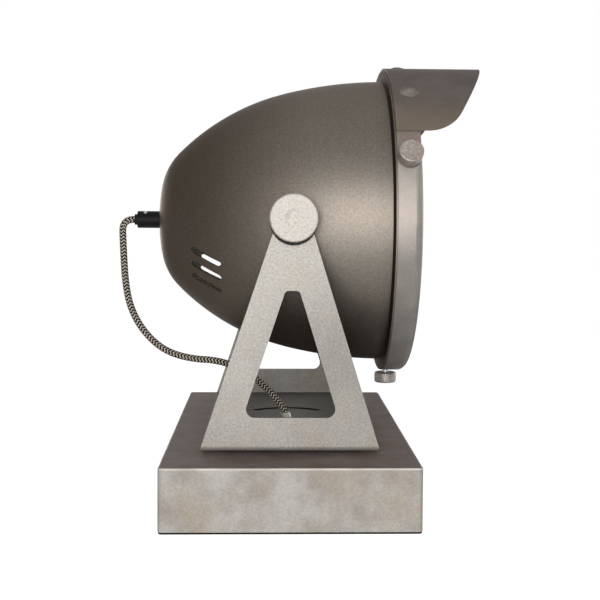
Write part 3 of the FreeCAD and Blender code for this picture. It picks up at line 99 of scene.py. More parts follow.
def flake_paint(name, pale, dark, warm, blotch_mm, flake_mm, flake_share, roughness, metal):
    """Satin paint full of metal flakes: soft blotches in two shades, a warmer stain, a fine speckle."""
    made, tree, shader = new_finish(name, Metallic=metal, Specular_IOR_Level=0.05,
                                    Specular_Tint=[0.35, 0.35, 0.35, 1.0])
    place = add(tree, "ShaderNodeTexCoord")
    blotch = add(tree, "ShaderNodeTexNoise", {"Vector": (place, "Object"), "Scale": 1000 / blotch_mm,
                                              "Detail": 3.0, "Roughness": 0.55})
    # The stain's patches are 1.7 times as wide as the blotches.
    stain = add(tree, "ShaderNodeTexNoise", {"Vector": (place, "Object"), "Scale": 600 / blotch_mm,
                                             "Detail": 2.0, "W": 3.0}, noise_dimensions="4D")
    flakes = add(tree, "ShaderNodeTexNoise", {"Vector": (place, "Object"), "Scale": 1000 / flake_mm,
                                              "Detail": 2.0, "Roughness": 0.7})
    shade = add(tree, "ShaderNodeMapRange", {0: (blotch, "Fac"), 1: 0.34, 2: 0.66})
    colour = add(tree, "ShaderNodeMix", {0: (shade, "Result"), 6: linear(dark), 7: linear(pale)},
                 data_type="RGBA")
    warmth = add(tree, "ShaderNodeMapRange", {0: (stain, "Fac"), 1: 0.5, 2: 0.75, 4: 0.7})
    colour = add(tree, "ShaderNodeMix", {0: (warmth, "Result"), 6: (colour, 2), 7: linear(warm)},
                 data_type="RGBA")
    speckle = add(tree, "ShaderNodeMapRange", {0: (flakes, "Fac"), 1: NOISE_LOW, 2: NOISE_HIGH,
                                               3: 1 - flake_share, 4: 1 + flake_share})
    speckled = add(tree, "ShaderNodeVectorMath", {0: (colour, 2), 1: (speckle, "Result")},
                   operation="MULTIPLY")
    matt = add(tree, "ShaderNodeMapRange", {0: (blotch, "Fac"), 1: NOISE_LOW, 2: NOISE_HIGH,
                                            3: roughness - 0.02, 4: roughness + 0.03})
    relief = add(tree, "ShaderNodeBump", {"Height": (flakes, "Fac"), "Strength": 0.25, "Distance": 0.0002})
    tree.links.new(speckled.outputs[0], shader.inputs["Base Color"])
    tree.links.new(matt.outputs["Result"], shader.inputs["Roughness"])
    tree.links.new(relief.outputs["Normal"], shader.inputs["Normal"])
    return made, tree, shader, speckled


# The flakes are about 0.1 mm; they are drawn at 1.6 mm so that they show.
base_steel, tree, shader, under = flake_paint(
    "flake_paint_base", pale="#b0aca7", dark="#9a938c", warm="#a69a88",
    blotch_mm=26, flake_mm=1.6, flake_share=0.12, roughness=0.58, metal=0.06)
# The bright line, a painted highlight, lies where height and side both come close to the box's edge.
BASE_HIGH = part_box("base_housing")[1]
HIGHLIGHT_FULL, HIGHLIGHT_GONE = 0.00048, 0.00192     # how far in from the edge
place = add(tree, "ShaderNodeTexCoord")
split = add(tree, "ShaderNodeSeparateXYZ", {0: (place, "Object")})
near_top = add(tree, "ShaderNodeMapRange", {0: (split, "Z"), 1: BASE_HIGH.z - HIGHLIGHT_GONE,
                                            2: BASE_HIGH.z - HIGHLIGHT_FULL})
near_side = []
for axis, reach in (("X", BASE_HIGH.x), ("Y", BASE_HIGH.y)):
    out = add(tree, "ShaderNodeMath", {0: (split, axis)}, operation="ABSOLUTE")
    near_side.append(add(tree, "ShaderNodeMapRange", {0: (out, 0), 1: reach - HIGHLIGHT_GONE,
                                                      2: reach - HIGHLIGHT_FULL}))
side = add(tree, "ShaderNodeMath", {0: (near_side[0], "Result"), 1: (near_side[1], "Result")},
           operation="MAXIMUM")
edge = add(tree, "ShaderNodeMath", {0: (near_top, "Result"), 1: (side, 0)}, operation="MULTIPLY")
# The line comes and goes in patches of about 22 mm.
patchy = add(tree, "ShaderNodeTexNoise", {"Vector": (place, "Object"), "Scale": 45.0, "Detail": 3.0})
kept = add(tree, "ShaderNodeMapRange", {0: (patchy, "Fac"), 1: NOISE_LOW, 2: 0.6, 3: 0.45, 4: 1.0})
painted_light = add(tree, "ShaderNodeMath", {0: (edge, 0), 1: (kept, "Result")}, operation="MULTIPLY")
# Painted shade: faces that point up are painted darker and a little pinker, so the top sheet looks shaded.
SLOPING, LEVEL = 0.5, 0.95                      # how far a face's normal points up
facing = add(tree, "ShaderNodeSeparateXYZ", {0: (place, "Normal")})
painted_top_shade = add(tree, "ShaderNodeMapRange", {0: (facing, "Z"), 1: SLOPING, 2: LEVEL})
top_shade_tint = add(tree, "ShaderNodeMix", {0: (painted_top_shade, "Result"), 6: linear("#ffffff"), 7: linear("#d9cdce")},
           data_type="RGBA")
under = add(tree, "ShaderNodeVectorMath", {0: (under, 0), 1: (top_shade_tint, 2)}, operation="MULTIPLY")
bright = add(tree, "ShaderNodeMix", {0: (painted_light, 0), 6: (under, 0), 7: linear("#ded8d0")},
             data_type="RGBA")
tree.links.new(bright.outputs[2], shader.inputs["Base Color"])
finish_on(["base_housing", "base_corner_tabs"], base_steel)


# ---- foam pad, bottom plate and ballast ---------------------------------------------------------------
# A thin closed-cell foam sheet is glued under the box. The bottom plate and its screws are zinc plated,
# and two slabs of plain iron, painted black like the stop pin, keep the tall head from tipping over.
CELL_MM = 1.0               # black and dead matt foam; its cells of 0.6 mm are drawn at 1 mm
foam, tree, shader = new_finish("black_cell_foam", Roughness=0.95, Specular_IOR_Level=0.1)
place = add(tree, "ShaderNodeTexCoord")
cells = add(tree, "ShaderNodeTexVoronoi", {"Vector": (place, "Object"), "Scale": 1000 / CELL_MM})
dark = add(tree, "ShaderNodeMix", {0: (cells, "Distance"), 6: linear("#171513"), 7: linear("#2a2725")},
           data_type="RGBA")
dimple = add(tree, "ShaderNodeBump", {"Height": (cells, "Distance"), "Strength": 0.6, "Distance": 0.0003})
tree.links.new(dark.outputs[2], shader.inputs["Base Color"])
tree.links.new(dimple.outputs["Normal"], shader.inputs["Normal"])
finish_on(["base_pad"], foam)


def plated(name, pale, dark, roughness, spangle_mm):
    """Bright plating: two close shades in small spangles, and faint rub marks in its gloss."""
    made, tree, shader = new_finish(name, Metallic=1.0)
    place = add(tree, "ShaderNodeTexCoord")
    spangle = add(tree, "ShaderNodeTexVoronoi", {"Vector": (place, "Object"), "Scale": 1000 / spangle_mm})
    cloud = add(tree, "ShaderNodeTexNoise", {"Vector": (place, "Object"), "Scale": 1000 / (4 * spangle_mm),
                                             "Detail": 3.0})
    grey = add(tree, "ShaderNodeSeparateColor", {0: (spangle, "Color")})
    both = add(tree, "ShaderNodeMath", {0: (grey, 0), 1: (cloud, "Fac")}, operation="MULTIPLY")
    colour = add(tree, "ShaderNodeMix", {0: (both, 0), 6: linear(dark), 7: linear(pale)}, data_type="RGBA")
    gloss = add(tree, "ShaderNodeMapRange", {0: (cloud, "Fac"), 1: NOISE_LOW, 2: NOISE_HIGH,
                                             3: roughness - 0.06, 4: roughness + 0.08})
    tree.links.new(colour.outputs[2], shader.inputs["Base Color"])
    tree.links.new(gloss.outputs["Result"], shader.inputs["Roughness"])
    return made


# Zinc plating is cool and bright, with a broad gloss; its crystals of 0.5 mm are drawn at 2 mm.
zinc = plated("zinc_plated_steel", "#c9cbcc", "#a2a5a8", roughness=0.38, spangle_mm=2.0)
finish_on(["base_plate", "base_plate_screws", "ballast_bolts", "earth_stud", "swivel_pipe",
           "swivel_nut", "swivel_spring_washer", "tilt_stud_near", "tilt_stud_far", "pivot_spacer_near",
           "pivot_spacer_far", "pivot_nut_near", "pivot_nut_far", "visor_knob_near_stud",
           "visor_knob_far_stud", "ring_knob_stud", "holder_nipple", "nipple_nut", "cord_grip_screw",
           "glass_retainer"], zinc)


def paint_or_plastic(name, colour, mottled, roughness, grain_mm, depth, **sockets):
    """A painted or moulded surface: one colour, slightly mottled, with a fine grain in relief."""
    made, tree, shader = new_finish(name, **sockets)
    place = add(tree, "ShaderNodeTexCoord")
    # Mottled in patches of about 8 mm.
    mottle = add(tree, "ShaderNodeTexNoise", {"Vector": (place, "Object"), "Scale": 120.0, "Detail": 3.0})
    grain = add(tree, "ShaderNodeTexNoise", {"Vector": (place, "Object"), "Scale": 1000 / grain_mm,
                                             "Detail": 2.0})
    mix = add(tree, "ShaderNodeMapRange", {0: (mottle, "Fac"), 1: 0.35, 2: 0.65})
    shade = add(tree, "ShaderNodeMix", {0: (mix, "Result"), 6: linear(colour), 7: linear(mottled)},
                data_type="RGBA")
    matt = add(tree, "ShaderNodeMapRange", {0: (grain, "Fac"), 1: NOISE_LOW, 2: NOISE_HIGH,
                                            3: roughness - 0.05, 4: roughness + 0.05})
    relief = add(tree, "ShaderNodeBump", {"Height": (grain, "Fac"), "Strength": 0.3, "Distance": depth})
    tree.links.new(shade.outputs[2], shader.inputs["Base Color"])
    tree.links.new(matt.outputs["Result"], shader.inputs["Roughness"])
    tree.links.new(relief.outputs["Normal"], shader.inputs["Normal"])
    return made


# Brushed paint on iron: half matt, black with a little brown. Its brush marks of 0.3 mm are drawn at 1.5 mm.
iron_paint = paint_or_plastic("black_painted_iron", "#232120", "#2f2c2a",
                              roughness=0.5, grain_mm=1.5, depth=0.0002)
finish_on(["ballast_weights", "stop_pin"], iron_paint)


# ---- inlet, terminals and friction washer -------------------------------------------------------------
# Moulded nylon bushes and a white terminal block with brass screws; none of them shows from the front.
# Nylon has a soft black sheen. The mould's spark grain of 0.1 mm is drawn at 0.8 mm, here and on the
# other plastics at 0.9 to 2 mm.
nylon = paint_or_plastic("black_moulded_nylon", "#100e0e", "#1a1817",
                         roughness=0.42, grain_mm=0.8, depth=0.0001, Specular_IOR_Level=0.35)
finish_on(["inlet_gland", "friction_washer"], nylon)
# The block is a slightly yellowed, satin white.
white_plastic = paint_or_plastic("white_moulded_plastic", "#d9d7cf", "#cfccc3",
                                 roughness=0.45, grain_mm=1.0, depth=0.0001)
finish_on(["terminal_block"], white_plastic)
# Brass is warm yellow and bright; its turning marks of 0.2 mm are drawn as patches of 1.5 mm.
brass = plated("turned_brass", "#d9b567", "#b8924a", roughness=0.3, spangle_mm=1.5)
finish_on(["terminal_screws", "lampholder_contacts", "earth_tag"], brass)


# ---- yoke ---------------------------------------------------------------------------------------------
# One strip of 2 mm steel, folded to a U, with a window cut in each panel. It has the base's flake paint,
# a little paler and more even, with a sandy speckle: the flakes are drawn at 1.8 mm.
yoke_steel, tree, shader, under = flake_paint(
    "flake_paint_yoke", pale="#95928c", dark="#8d8984", warm="#93897d",
    blotch_mm=16, flake_mm=1.8, flake_share=0.20, roughness=0.48, metal=0.35)
# Painted shade: the paint is darker on the legs, most of all 35 mm ahead of the swivel's axis and
# 135 mm above the table, and faces that point up, such as the floor between them, are painted darker too.
LEG_SHADE_X, LEG_SHADE_Z = 0.035, 0.135
LEG_SHADE_REACH = 0.085
LEG_SHADE_SHARE, TOP_SHADE_SHARE = 0.74, 0.75            # of the paint's own lightness
place = add(tree, "ShaderNodeTexCoord")
from_leg_shade = add(tree, "ShaderNodeVectorMath", {0: (place, "Object"), 1: [1.0, 0.0, 1.0],
                                               2: [-LEG_SHADE_X, 0.0, -LEG_SHADE_Z]}, operation="MULTIPLY_ADD")
far = add(tree, "ShaderNodeVectorMath", {0: (from_leg_shade, 0)}, operation="LENGTH")
leg_shade = add(tree, "ShaderNodeMapRange", {0: (far, "Value"), 1: 0.0, 2: LEG_SHADE_REACH, 3: LEG_SHADE_SHARE, 4: 1.0},
           interpolation_type="SMOOTHSTEP")
# Painted shade on faces that point up, the floor between the panels among them.
facing = add(tree, "ShaderNodeSeparateXYZ", {0: (place, "Normal")})
painted_top_shade = add(tree, "ShaderNodeMapRange", {0: (facing, "Z"), 1: SLOPING, 2: LEVEL, 3: 1.0, 4: TOP_SHADE_SHARE})
both = add(tree, "ShaderNodeMath", {0: (leg_shade, "Result"), 1: (painted_top_shade, "Result")}, operation="MULTIPLY")
shaded_paint = add(tree, "ShaderNodeVectorMath", {0: (under, 0), 1: (both, 0)}, operation="MULTIPLY")
# Painted shade: the stop slot's edge is painted near black in an arc about the swivel's axis, as wide as the
# slot and its rim and as long as the slot, in the floor alone.
PIN_LOW, PIN_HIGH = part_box("stop_pin")
YOKE_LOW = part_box("yoke_bracket")[0]
SLOT_RIM = 0.0013                               # painted shade on the rim beside the slot
FLOOR_DEPTH = 0.004                             # the arc's reach above the yoke's underside
STOP_TURN = math.radians(42.0)                  # the arc's reach to each side of the pin
SLOT_FADE, TURN_FADE, DEPTH_FADE = 0.0003, 0.01, 0.0005
pin = (PIN_LOW + PIN_HIGH) / 2
pin_reach = math.hypot(pin.x, pin.y)
half_slot = (PIN_HIGH.x - PIN_LOW.x) / 2 + SLOT_RIM
level = add(tree, "ShaderNodeVectorMath", {0: (place, "Object"), 1: [1.0, 1.0, 0.0]}, operation="MULTIPLY")
reach = add(tree, "ShaderNodeVectorMath", {0: (level, 0)}, operation="LENGTH")
off_line = add(tree, "ShaderNodeMath", {0: (reach, "Value"), 1: pin_reach}, operation="SUBTRACT")
off_line = add(tree, "ShaderNodeMath", {0: (off_line, 0)}, operation="ABSOLUTE")
on_ring = add(tree, "ShaderNodeMapRange", {0: (off_line, 0), 1: half_slot, 2: half_slot - SLOT_FADE})
toward = add(tree, "ShaderNodeVectorMath", {0: (level, 0), 1: [pin.x / pin_reach, pin.y / pin_reach, 0.0]},
             operation="DOT_PRODUCT")
cosine = add(tree, "ShaderNodeMath", {0: (toward, "Value"), 1: pin_reach}, operation="DIVIDE")
in_turn = add(tree, "ShaderNodeMapRange", {0: (cosine, 0), 1: math.cos(STOP_TURN) - TURN_FADE,
                                           2: math.cos(STOP_TURN)})
split = add(tree, "ShaderNodeSeparateXYZ", {0: (place, "Object")})
in_floor = add(tree, "ShaderNodeMapRange", {0: (split, "Z"), 1: YOKE_LOW.z + FLOOR_DEPTH,
                                            2: YOKE_LOW.z + FLOOR_DEPTH - DEPTH_FADE})
slot_shade = add(tree, "ShaderNodeMath", {0: (on_ring, "Result"), 1: (in_turn, "Result")}, operation="MULTIPLY")
slot_shade = add(tree, "ShaderNodeMath", {0: (slot_shade, 0), 1: (in_floor, "Result")}, operation="MULTIPLY")
floor_tone = add(tree, "ShaderNodeMix", {0: (slot_shade, 0), 6: (shaded_paint, 0), 7: linear("#1b1816")},
                 data_type="RGBA")
tree.links.new(floor_tone.outputs[2], shader.inputs["Base Color"])
finish_on(["yoke_bracket"], yoke_steel)


# ---- cord sleeve --------------------------------------------------------------------------------------
# A short clear PVC tube that keeps the braid from fraying where it enters the yoke's floor; it has
# clouded to a milky white, in clouds of about 2 mm.
sleeve, tree, shader = new_finish("clouded_clear_pvc", Roughness=0.3, IOR=1.53, Transmission_Weight=0.45)
place = add(tree, "ShaderNodeTexCoord")
cloud = add(tree, "ShaderNodeTexNoise", {"Vector": (place, "Object"), "Scale": 500.0, "Detail": 2.0})
milky = add(tree, "ShaderNodeMix", {0: (cloud, "Fac"), 6: linear("#d8d5cf"), 7: linear("#f2f0ec")},
            data_type="RGBA")
tree.links.new(milky.outputs[2], shader.inputs["Base Color"])
finish_on(["cord_sleeve"], sleeve)


# ---- head shell ---------------------------------------------------------------------------------------
# Spun from 1 mm mild steel, burnished on the lathe and waxed: brown-grey and satin, with faint lines
# round the shell from the tool. Its colour is painted darker towards the rear crown as painted shade.
shell_steel, tree, shader = new_finish("burnished_spun_steel", Specular_Tint=[0.6, 0.57, 0.56, 1.0])
place = add(tree, "ShaderNodeTexCoord")
# Tool lines follow each other about every 1.5 mm along the shell and run right round it. The wax lies in
# blotches, and a grain of 0.4 mm is drawn at 1.8 mm so that it shows.
LINE_MM, WAX_MM, GRAIN_MM = 1.5, 60, 1.8
ROUND = 12.0                # a line changes only every 83 mm of its way round
along = add(tree, "ShaderNodeMapping", {"Vector": (place, "Object"), "Scale": [1000 / LINE_MM, ROUND, ROUND]})
lines = add(tree, "ShaderNodeTexNoise", {"Vector": (along, "Vector"), "Scale": 1.0, "Detail": 3.0})
wax = add(tree, "ShaderNodeTexNoise", {"Vector": (place, "Object"), "Scale": 1000 / WAX_MM, "Detail": 2.0})
grain = add(tree, "ShaderNodeTexNoise", {"Vector": (place, "Object"), "Scale": 1000 / GRAIN_MM,
                                         "Detail": 2.0, "Roughness": 0.7})
SHELL_LOW, SHELL_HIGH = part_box("head_shell")
DARK_TO, PALE_FROM = SHELL_LOW.x + 0.02, 0.04   # along the shell
split = add(tree, "ShaderNodeSeparateXYZ", {0: (place, "Object")})
# Painted shade: the colour darkens from PALE_FROM back to DARK_TO.
shade_to_rear = add(tree, "ShaderNodeMapRange", {0: (split, "X"), 1: DARK_TO, 2: PALE_FROM},
            interpolation_type="SMOOTHSTEP")
thin = add(tree, "ShaderNodeMix", {0: (shade_to_rear, "Result"), 6: linear("#443d35"), 7: linear("#69645d")},
           data_type="RGBA")
waxed = add(tree, "ShaderNodeMapRange", {0: (wax, "Fac"), 1: 0.36, 2: 0.64, 4: 0.5})
thick = add(tree, "ShaderNodeMix", {0: (shade_to_rear, "Result"), 6: linear("#473e3a"), 7: linear("#685e57")},
            data_type="RGBA")
brown = add(tree, "ShaderNodeMix", {0: (waxed, "Result"), 6: (thin, 2), 7: (thick, 2)}, data_type="RGBA")
line_tone = add(tree, "ShaderNodeMapRange", {0: (lines, "Fac"), 1: NOISE_LOW, 2: NOISE_HIGH,
                                             3: 0.97, 4: 1.03})
grain_tone = add(tree, "ShaderNodeMapRange", {0: (grain, "Fac"), 1: NOISE_LOW, 2: NOISE_HIGH,
                                              3: 0.85, 4: 1.15})
tone = add(tree, "ShaderNodeMath", {0: (line_tone, "Result"), 1: (grain_tone, "Result")},
           operation="MULTIPLY")
brown = add(tree, "ShaderNodeVectorMath", {0: (brown, 2), 1: (tone, 0)}, operation="MULTIPLY")
satin = add(tree, "ShaderNodeMapRange", {0: (lines, "Fac"), 1: NOISE_LOW, 2: NOISE_HIGH, 3: 0.49, 4: 0.51})
relief = add(tree, "ShaderNodeBump", {"Height": (grain, "Fac"), "Distance": 0.00004})
# Painted shade: the turned-out lip, behind its bead, is painted nearly black.
LIP_FROM, LIP_TO, LIP_FADE = 0.0835, 0.0849, 0.0003
behind_lip = add(tree, "ShaderNodeMapRange", {0: (split, "X"), 1: LIP_FROM, 2: LIP_FROM + LIP_FADE})
before_bead = add(tree, "ShaderNodeMapRange", {0: (split, "X"), 1: LIP_TO, 2: LIP_TO + LIP_FADE,
                                               3: 1.0, 4: 0.0})
lip_shade = add(tree, "ShaderNodeMath", {0: (behind_lip, "Result"), 1: (before_bead, "Result")},
               operation="MULTIPLY")
brown = add(tree, "ShaderNodeMix", {0: (lip_shade, 0), 6: (brown, 0), 7: linear("#352e2a")}, data_type="RGBA")
# Inside, where the surface faces the axis, it is sprayed a matt warm grey that throws the light forward.
AXIS_Z = (SHELL_LOW.z + SHELL_HIGH.z) / 2
spoke = add(tree, "ShaderNodeVectorMath", {0: (place, "Object"), 1: [0.0, 1.0, 1.0], 2: [0.0, 0.0, -AXIS_Z]},
            operation="MULTIPLY_ADD")
outward = add(tree, "ShaderNodeVectorMath", {0: (place, "Normal"), 1: (spoke, 0)}, operation="DOT_PRODUCT")
inside = add(tree, "ShaderNodeMapRange", {0: (outward, "Value"), 1: 0.0, 2: -0.01})
skin = add(tree, "ShaderNodeMix", {0: (inside, "Result"), 6: (brown, 2), 7: linear("#70685f")},
           data_type="RGBA")
bare = add(tree, "ShaderNodeMath", {0: 1.0, 1: (inside, "Result")}, operation="SUBTRACT")
tree.links.new(bare.outputs[0], shader.inputs["Metallic"])
tree.links.new(bare.outputs[0], relief.inputs["Strength"])
tree.links.new(skin.outputs[2], shader.inputs["Base Color"])
tree.links.new(satin.outputs["Result"], shader.inputs["Roughness"])
tree.links.new(relief.outputs["Normal"], shader.inputs["Normal"])
finish_on(["head_shell"], shell_steel)


# ---- lampholder and bulb ------------------------------------------------------------------------------
# A phenolic E27 holder with a glazed ceramic insert screws on the nipple inside the shell and takes an
# opal bulb with a nickel-plated cap. Phenolic is a deep, glossy black, and the glaze a creamy white with
# a wet shine, waved every 2.5 mm.
phenolic = paint_or_plastic("black_phenolic", "#141110", "#1d1918",
                            roughness=0.3, grain_mm=2.0, depth=0.0001)
finish_on(["lampholder_cap", "lampholder_skirt"], phenolic)
ceramic = paint_or_plastic("glazed_ceramic", "#e4dfd3", "#d9d3c5",
                           roughness=0.25, grain_mm=2.5, depth=0.0001)
finish_on(["lampholder_insert"], ceramic)
# Nickel is a warm white metal. Opal glass is milky: light goes a few millimetres in and comes out soft.
nickel = plated("nickel_plated_cap", "#cfcbc2", "#b0aca4", roughness=0.28, spangle_mm=2.5)
finish_on(["bulb_cap"], nickel)
opal = paint_or_plastic("opal_glass", "#f2f1ec", "#e9e7e0",
                        roughness=0.16, grain_mm=4.0, depth=0.00005, IOR=1.52,
                        Subsurface_Weight=0.25, Subsurface_Scale=0.01)
finish_on(["bulb_glass"], opal)


# ---- cord grip ----------------------------------------------------------------------------------------
# A grip of moulded nylon, screwed on the nipple behind the shell; a small zinc screw locks it. It is
# the deepest black on the lamp and almost without shine.
grip = paint_or_plastic("black_moulded_grip", "#0d0b0c", "#151213",
                        roughness=0.5, grain_mm=0.9, depth=0.0001, Specular_IOR_Level=0.1)
finish_on(["cord_grip"], grip)


# ---- front ring and strap -----------------------------------------------------------------------------
# The ring is pressed from 1.2 mm steel, in a flake paint that is finer and rosier than the base's, its
# flakes drawn at 1.4 mm. The strap over it is rolled from 1 mm steel, in a darker brown.
ring_steel, tree, shader, under = flake_paint(
    "flake_paint_ring", pale="#918d87", dark="#837e79", warm="#94877f",
    blotch_mm=24, flake_mm=1.4, flake_share=0.08, roughness=0.47, metal=0.5)
# Painted light and shade: the ring's upper half is painted lighter and its lower half darker.
place = add(tree, "ShaderNodeTexCoord")
split = add(tree, "ShaderNodeSeparateXYZ", {0: (place, "Object")})
painted_top_light = add(tree, "ShaderNodeMapRange", {0: (split, "Z"), 1: SHELL_LOW.z, 2: SHELL_HIGH.z, 3: 0.75, 4: 1.2},
             interpolation_type="SMOOTHSTEP")
painted_light = add(tree, "ShaderNodeVectorMath", {0: (under, 0), 1: (painted_top_light, "Result")}, operation="MULTIPLY")
tree.links.new(painted_light.outputs[0], shader.inputs["Base Color"])
finish_on(["front_ring"], ring_steel)
strap_steel = flake_paint(
    "flake_paint_strap", pale="#877e76", dark="#756d66", warm="#87766e",
    blotch_mm=18, flake_mm=1.4, flake_share=0.08, roughness=0.5, metal=0.4)[0]
finish_on(["visor_strap"], strap_steel)


# ---- gasket and glass ---------------------------------------------------------------------------------
# A flat pane of 3 mm float glass lies on a rubber gasket in the ring. Rubber washers under the tilt
# knobs are of the same sheet, black and matt, with a grain of 0.2 mm drawn at 1 mm.
rubber = paint_or_plastic("black_rubber", "#100f0f", "#181716",
                          roughness=0.7, grain_mm=1.0, depth=0.0001, Specular_IOR_Level=0.3)
finish_on(["glass_gasket", "tilt_washer_near", "tilt_washer_far"], rubber)
# The glass is clear and faintly green, with a thin film of dust in clouds of about 33 mm.
glass, tree, shader = new_finish("clear_float_glass", IOR=1.52, Transmission_Weight=1.0)
place = add(tree, "ShaderNodeTexCoord")
film = add(tree, "ShaderNodeTexNoise", {"Vector": (place, "Object"), "Scale": 30.0, "Detail": 2.0})
smear = add(tree, "ShaderNodeMapRange", {0: (film, "Fac"), 1: 0.45, 2: 0.75, 3: 0.0, 4: 0.05})
tint = add(tree, "ShaderNodeMix", {0: (film, "Fac"), 6: linear("#f4f8f6"), 7: linear("#fafcfb")},
           data_type="RGBA")
tree.links.new(smear.outputs["Result"], shader.inputs["Roughness"])
tree.links.new(tint.outputs[2], shader.inputs["Base Color"])
finish_on(["front_glass"], glass)


# ---- visor hood and rivets ----------------------------------------------------------------------------
# Rolled from 1 mm steel and held to the strap by three domed rivets. Its flake paint is the darkest on
# the lamp, brown-grey and warmer in places.
hood_steel, tree, shader, under = flake_paint(
    "flake_paint_hood", pale="#716966", dark="#645c59", warm="#716757",
    blotch_mm=30, flake_mm=1.4, flake_share=0.08, roughness=0.5, metal=0.4)
# Painted light: the paint is lighter and warmer above the hood's lower edges.
HOOD_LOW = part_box("visor_hood")[0]
LOW_LIGHT_REACH = 0.04
place = add(tree, "ShaderNodeTexCoord")
split = add(tree, "ShaderNodeSeparateXYZ", {0: (place, "Object")})
painted_low_light = add(tree, "ShaderNodeMapRange", {0: (split, "Z"), 1: HOOD_LOW.z, 2: HOOD_LOW.z + LOW_LIGHT_REACH,
                                           3: 0.7, 4: 0.0})
tone = add(tree, "ShaderNodeMix", {0: (painted_low_light, "Result"), 6: (under, 0), 7: linear("#786c5c")},
           data_type="RGBA")
tree.links.new(tone.outputs[2], shader.inputs["Base Color"])
finish_on(["visor_hood"], hood_steel)
# The rivets' domes are rubbed, so they are glossier than the sheet around them; their paler colour is partly
# rubbed paint and partly a painted highlight.
rivet_steel = flake_paint(
    "rubbed_highlit_paint_rivets", pale="#8a837e", dark="#6a625e", warm="#7d7468",
    blotch_mm=6, flake_mm=1.4, flake_share=0.10, roughness=0.38, metal=0.7)[0]
finish_on(["visor_rivets"], rivet_steel)


# ---- tilt knobs and thumb screws ----------------------------------------------------------------------
# Knobs of cast zinc, tumbled with stones and screwed on plated studs. They are pale and half matt, with
# pits all over their faces; pits of 0.4 mm are drawn at 1.3 mm so that they show.
def tumbled_zinc(name, pale, dark, pit, pit_mm, roughness):
    """Cast metal with a pitted, mottled skin."""
    made, tree, shader = new_finish(name, Metallic=0.5)
    place = add(tree, "ShaderNodeTexCoord")
    mottle = add(tree, "ShaderNodeTexNoise", {"Vector": (place, "Object"), "Scale": 1000 / (3 * pit_mm),
                                              "Detail": 4.0, "Roughness": 0.65})
    pits = add(tree, "ShaderNodeTexNoise", {"Vector": (place, "Object"), "Scale": 1000 / pit_mm,
                                            "Detail": 2.0, "Roughness": 0.6})
    shade = add(tree, "ShaderNodeMapRange", {0: (mottle, "Fac"), 1: 0.36, 2: 0.64})
    colour = add(tree, "ShaderNodeMix", {0: (shade, "Result"), 6: linear(dark), 7: linear(pale)},
                 data_type="RGBA")
    deep = add(tree, "ShaderNodeMapRange", {0: (pits, "Fac"), 1: 0.38, 2: 0.50, 3: 1.0, 4: 0.0})
    colour = add(tree, "ShaderNodeMix", {0: (deep, "Result"), 6: (colour, 2), 7: linear(pit)},
                 data_type="RGBA")
    matt = add(tree, "ShaderNodeMapRange", {0: (mottle, "Fac"), 1: NOISE_LOW, 2: NOISE_HIGH,
                                            3: roughness - 0.05, 4: roughness + 0.05})
    relief = add(tree, "ShaderNodeBump", {"Height": (pits, "Fac"), "Strength": 0.5, "Distance": 0.0003})
    tree.links.new(colour.outputs[2], shader.inputs["Base Color"])
    tree.links.new(matt.outputs["Result"], shader.inputs["Roughness"])
    tree.links.new(relief.outputs["Normal"], shader.inputs["Normal"])
    return made


tilt_zinc = tumbled_zinc("tumbled_zinc_pale", "#a6a19b", "#958f89", pit="#8a847d",
                         pit_mm=1.3, roughness=0.55)
finish_on(["tilt_knob_near", "tilt_knob_far"], tilt_zinc)
# The thumb screws are fingered more, so they are a shade darker and glossier.
thumb_zinc = tumbled_zinc("tumbled_zinc_dark", "#9d958e", "#857c76", pit="#746b65",
                          pit_mm=1.3, roughness=0.5)
finish_on(["visor_knob_near", "visor_knob_far", "ring_knob"], thumb_zinc)


# ---- cords --------------------------------------------------------------------------------------------
# Three-core flex in a woven cotton braid of black and cream, 6.5 mm across. It leaves the grip, folds
# down under its own weight and enters the middle of the yoke's floor; its tail lies inside the base.
CORD_RADIUS = 0.00325
# Control points of the free cord's line in the plane Y = 0, in millimetres, and of the tail's.
CORD_ROUTE = (
    (-143.4, 244.3), (-148.3, 244.3), (-152.5, 241.8), (-154.9, 237.4), (-154.7, 227.8),
    (-153.9, 209.8), (-152.4, 184.6), (-147.5, 160.4), (-134.8, 138.0), (-115.6, 120.8),
    (-91.0, 113.4), (-65.8, 112.2), (-41.0, 103.6), (-19.8, 86.4), (-8.2, 72.4),
    (0.0, 60.6), (0.0, 46.6),
)
TAIL_ROUTE = ((0.0, 46.6), (0.0, 28.6), (-12.0, 14.0), (-32.0, 10.6), (-48.0, 10.6))
BRAID_ROW = 0.0031          # from one row of chevrons to the next
BRAID_WAVES = 4             # chevrons round the cord
BRAID_LEAN = 0.65           # a chevron's depth, in rows
BRAID_START = 0.28          # where round the cord the first chevron starts, in chevrons
BRAID_RELIEF = 0.0002       # hollow between two strands
SPLINE_STEPS = 24           # from one control point to the next
RING_POINTS = 32            # round the cord
RINGS_A_ROW = 7             # along it, to one row of chevrons


def smooth_line(name, route):
    """Points along the smooth spline whose control points are the route's, in metres."""
    curve = bpy.data.curves.new(name, "CURVE")
    curve.dimensions = "3D"
    curve.resolution_u = SPLINE_STEPS
    spline = curve.splines.new("NURBS")
    spline.points.add(len(route) - 1)
    for point, (x, z) in zip(spline.points, route):
        point.co = (x / 1000, 0.0, z / 1000, 1.0)
    spline.order_u = 3
    spline.use_endpoint_u = True
    guide = bpy.data.objects.new(name, curve)
    mesh = bpy.data.meshes.new_from_object(guide)
    points = [v.co.copy() for v in mesh.vertices]
    bpy.data.objects.remove(guide)
    bpy.data.curves.remove(curve)
    bpy.data.meshes.remove(mesh)
    return points


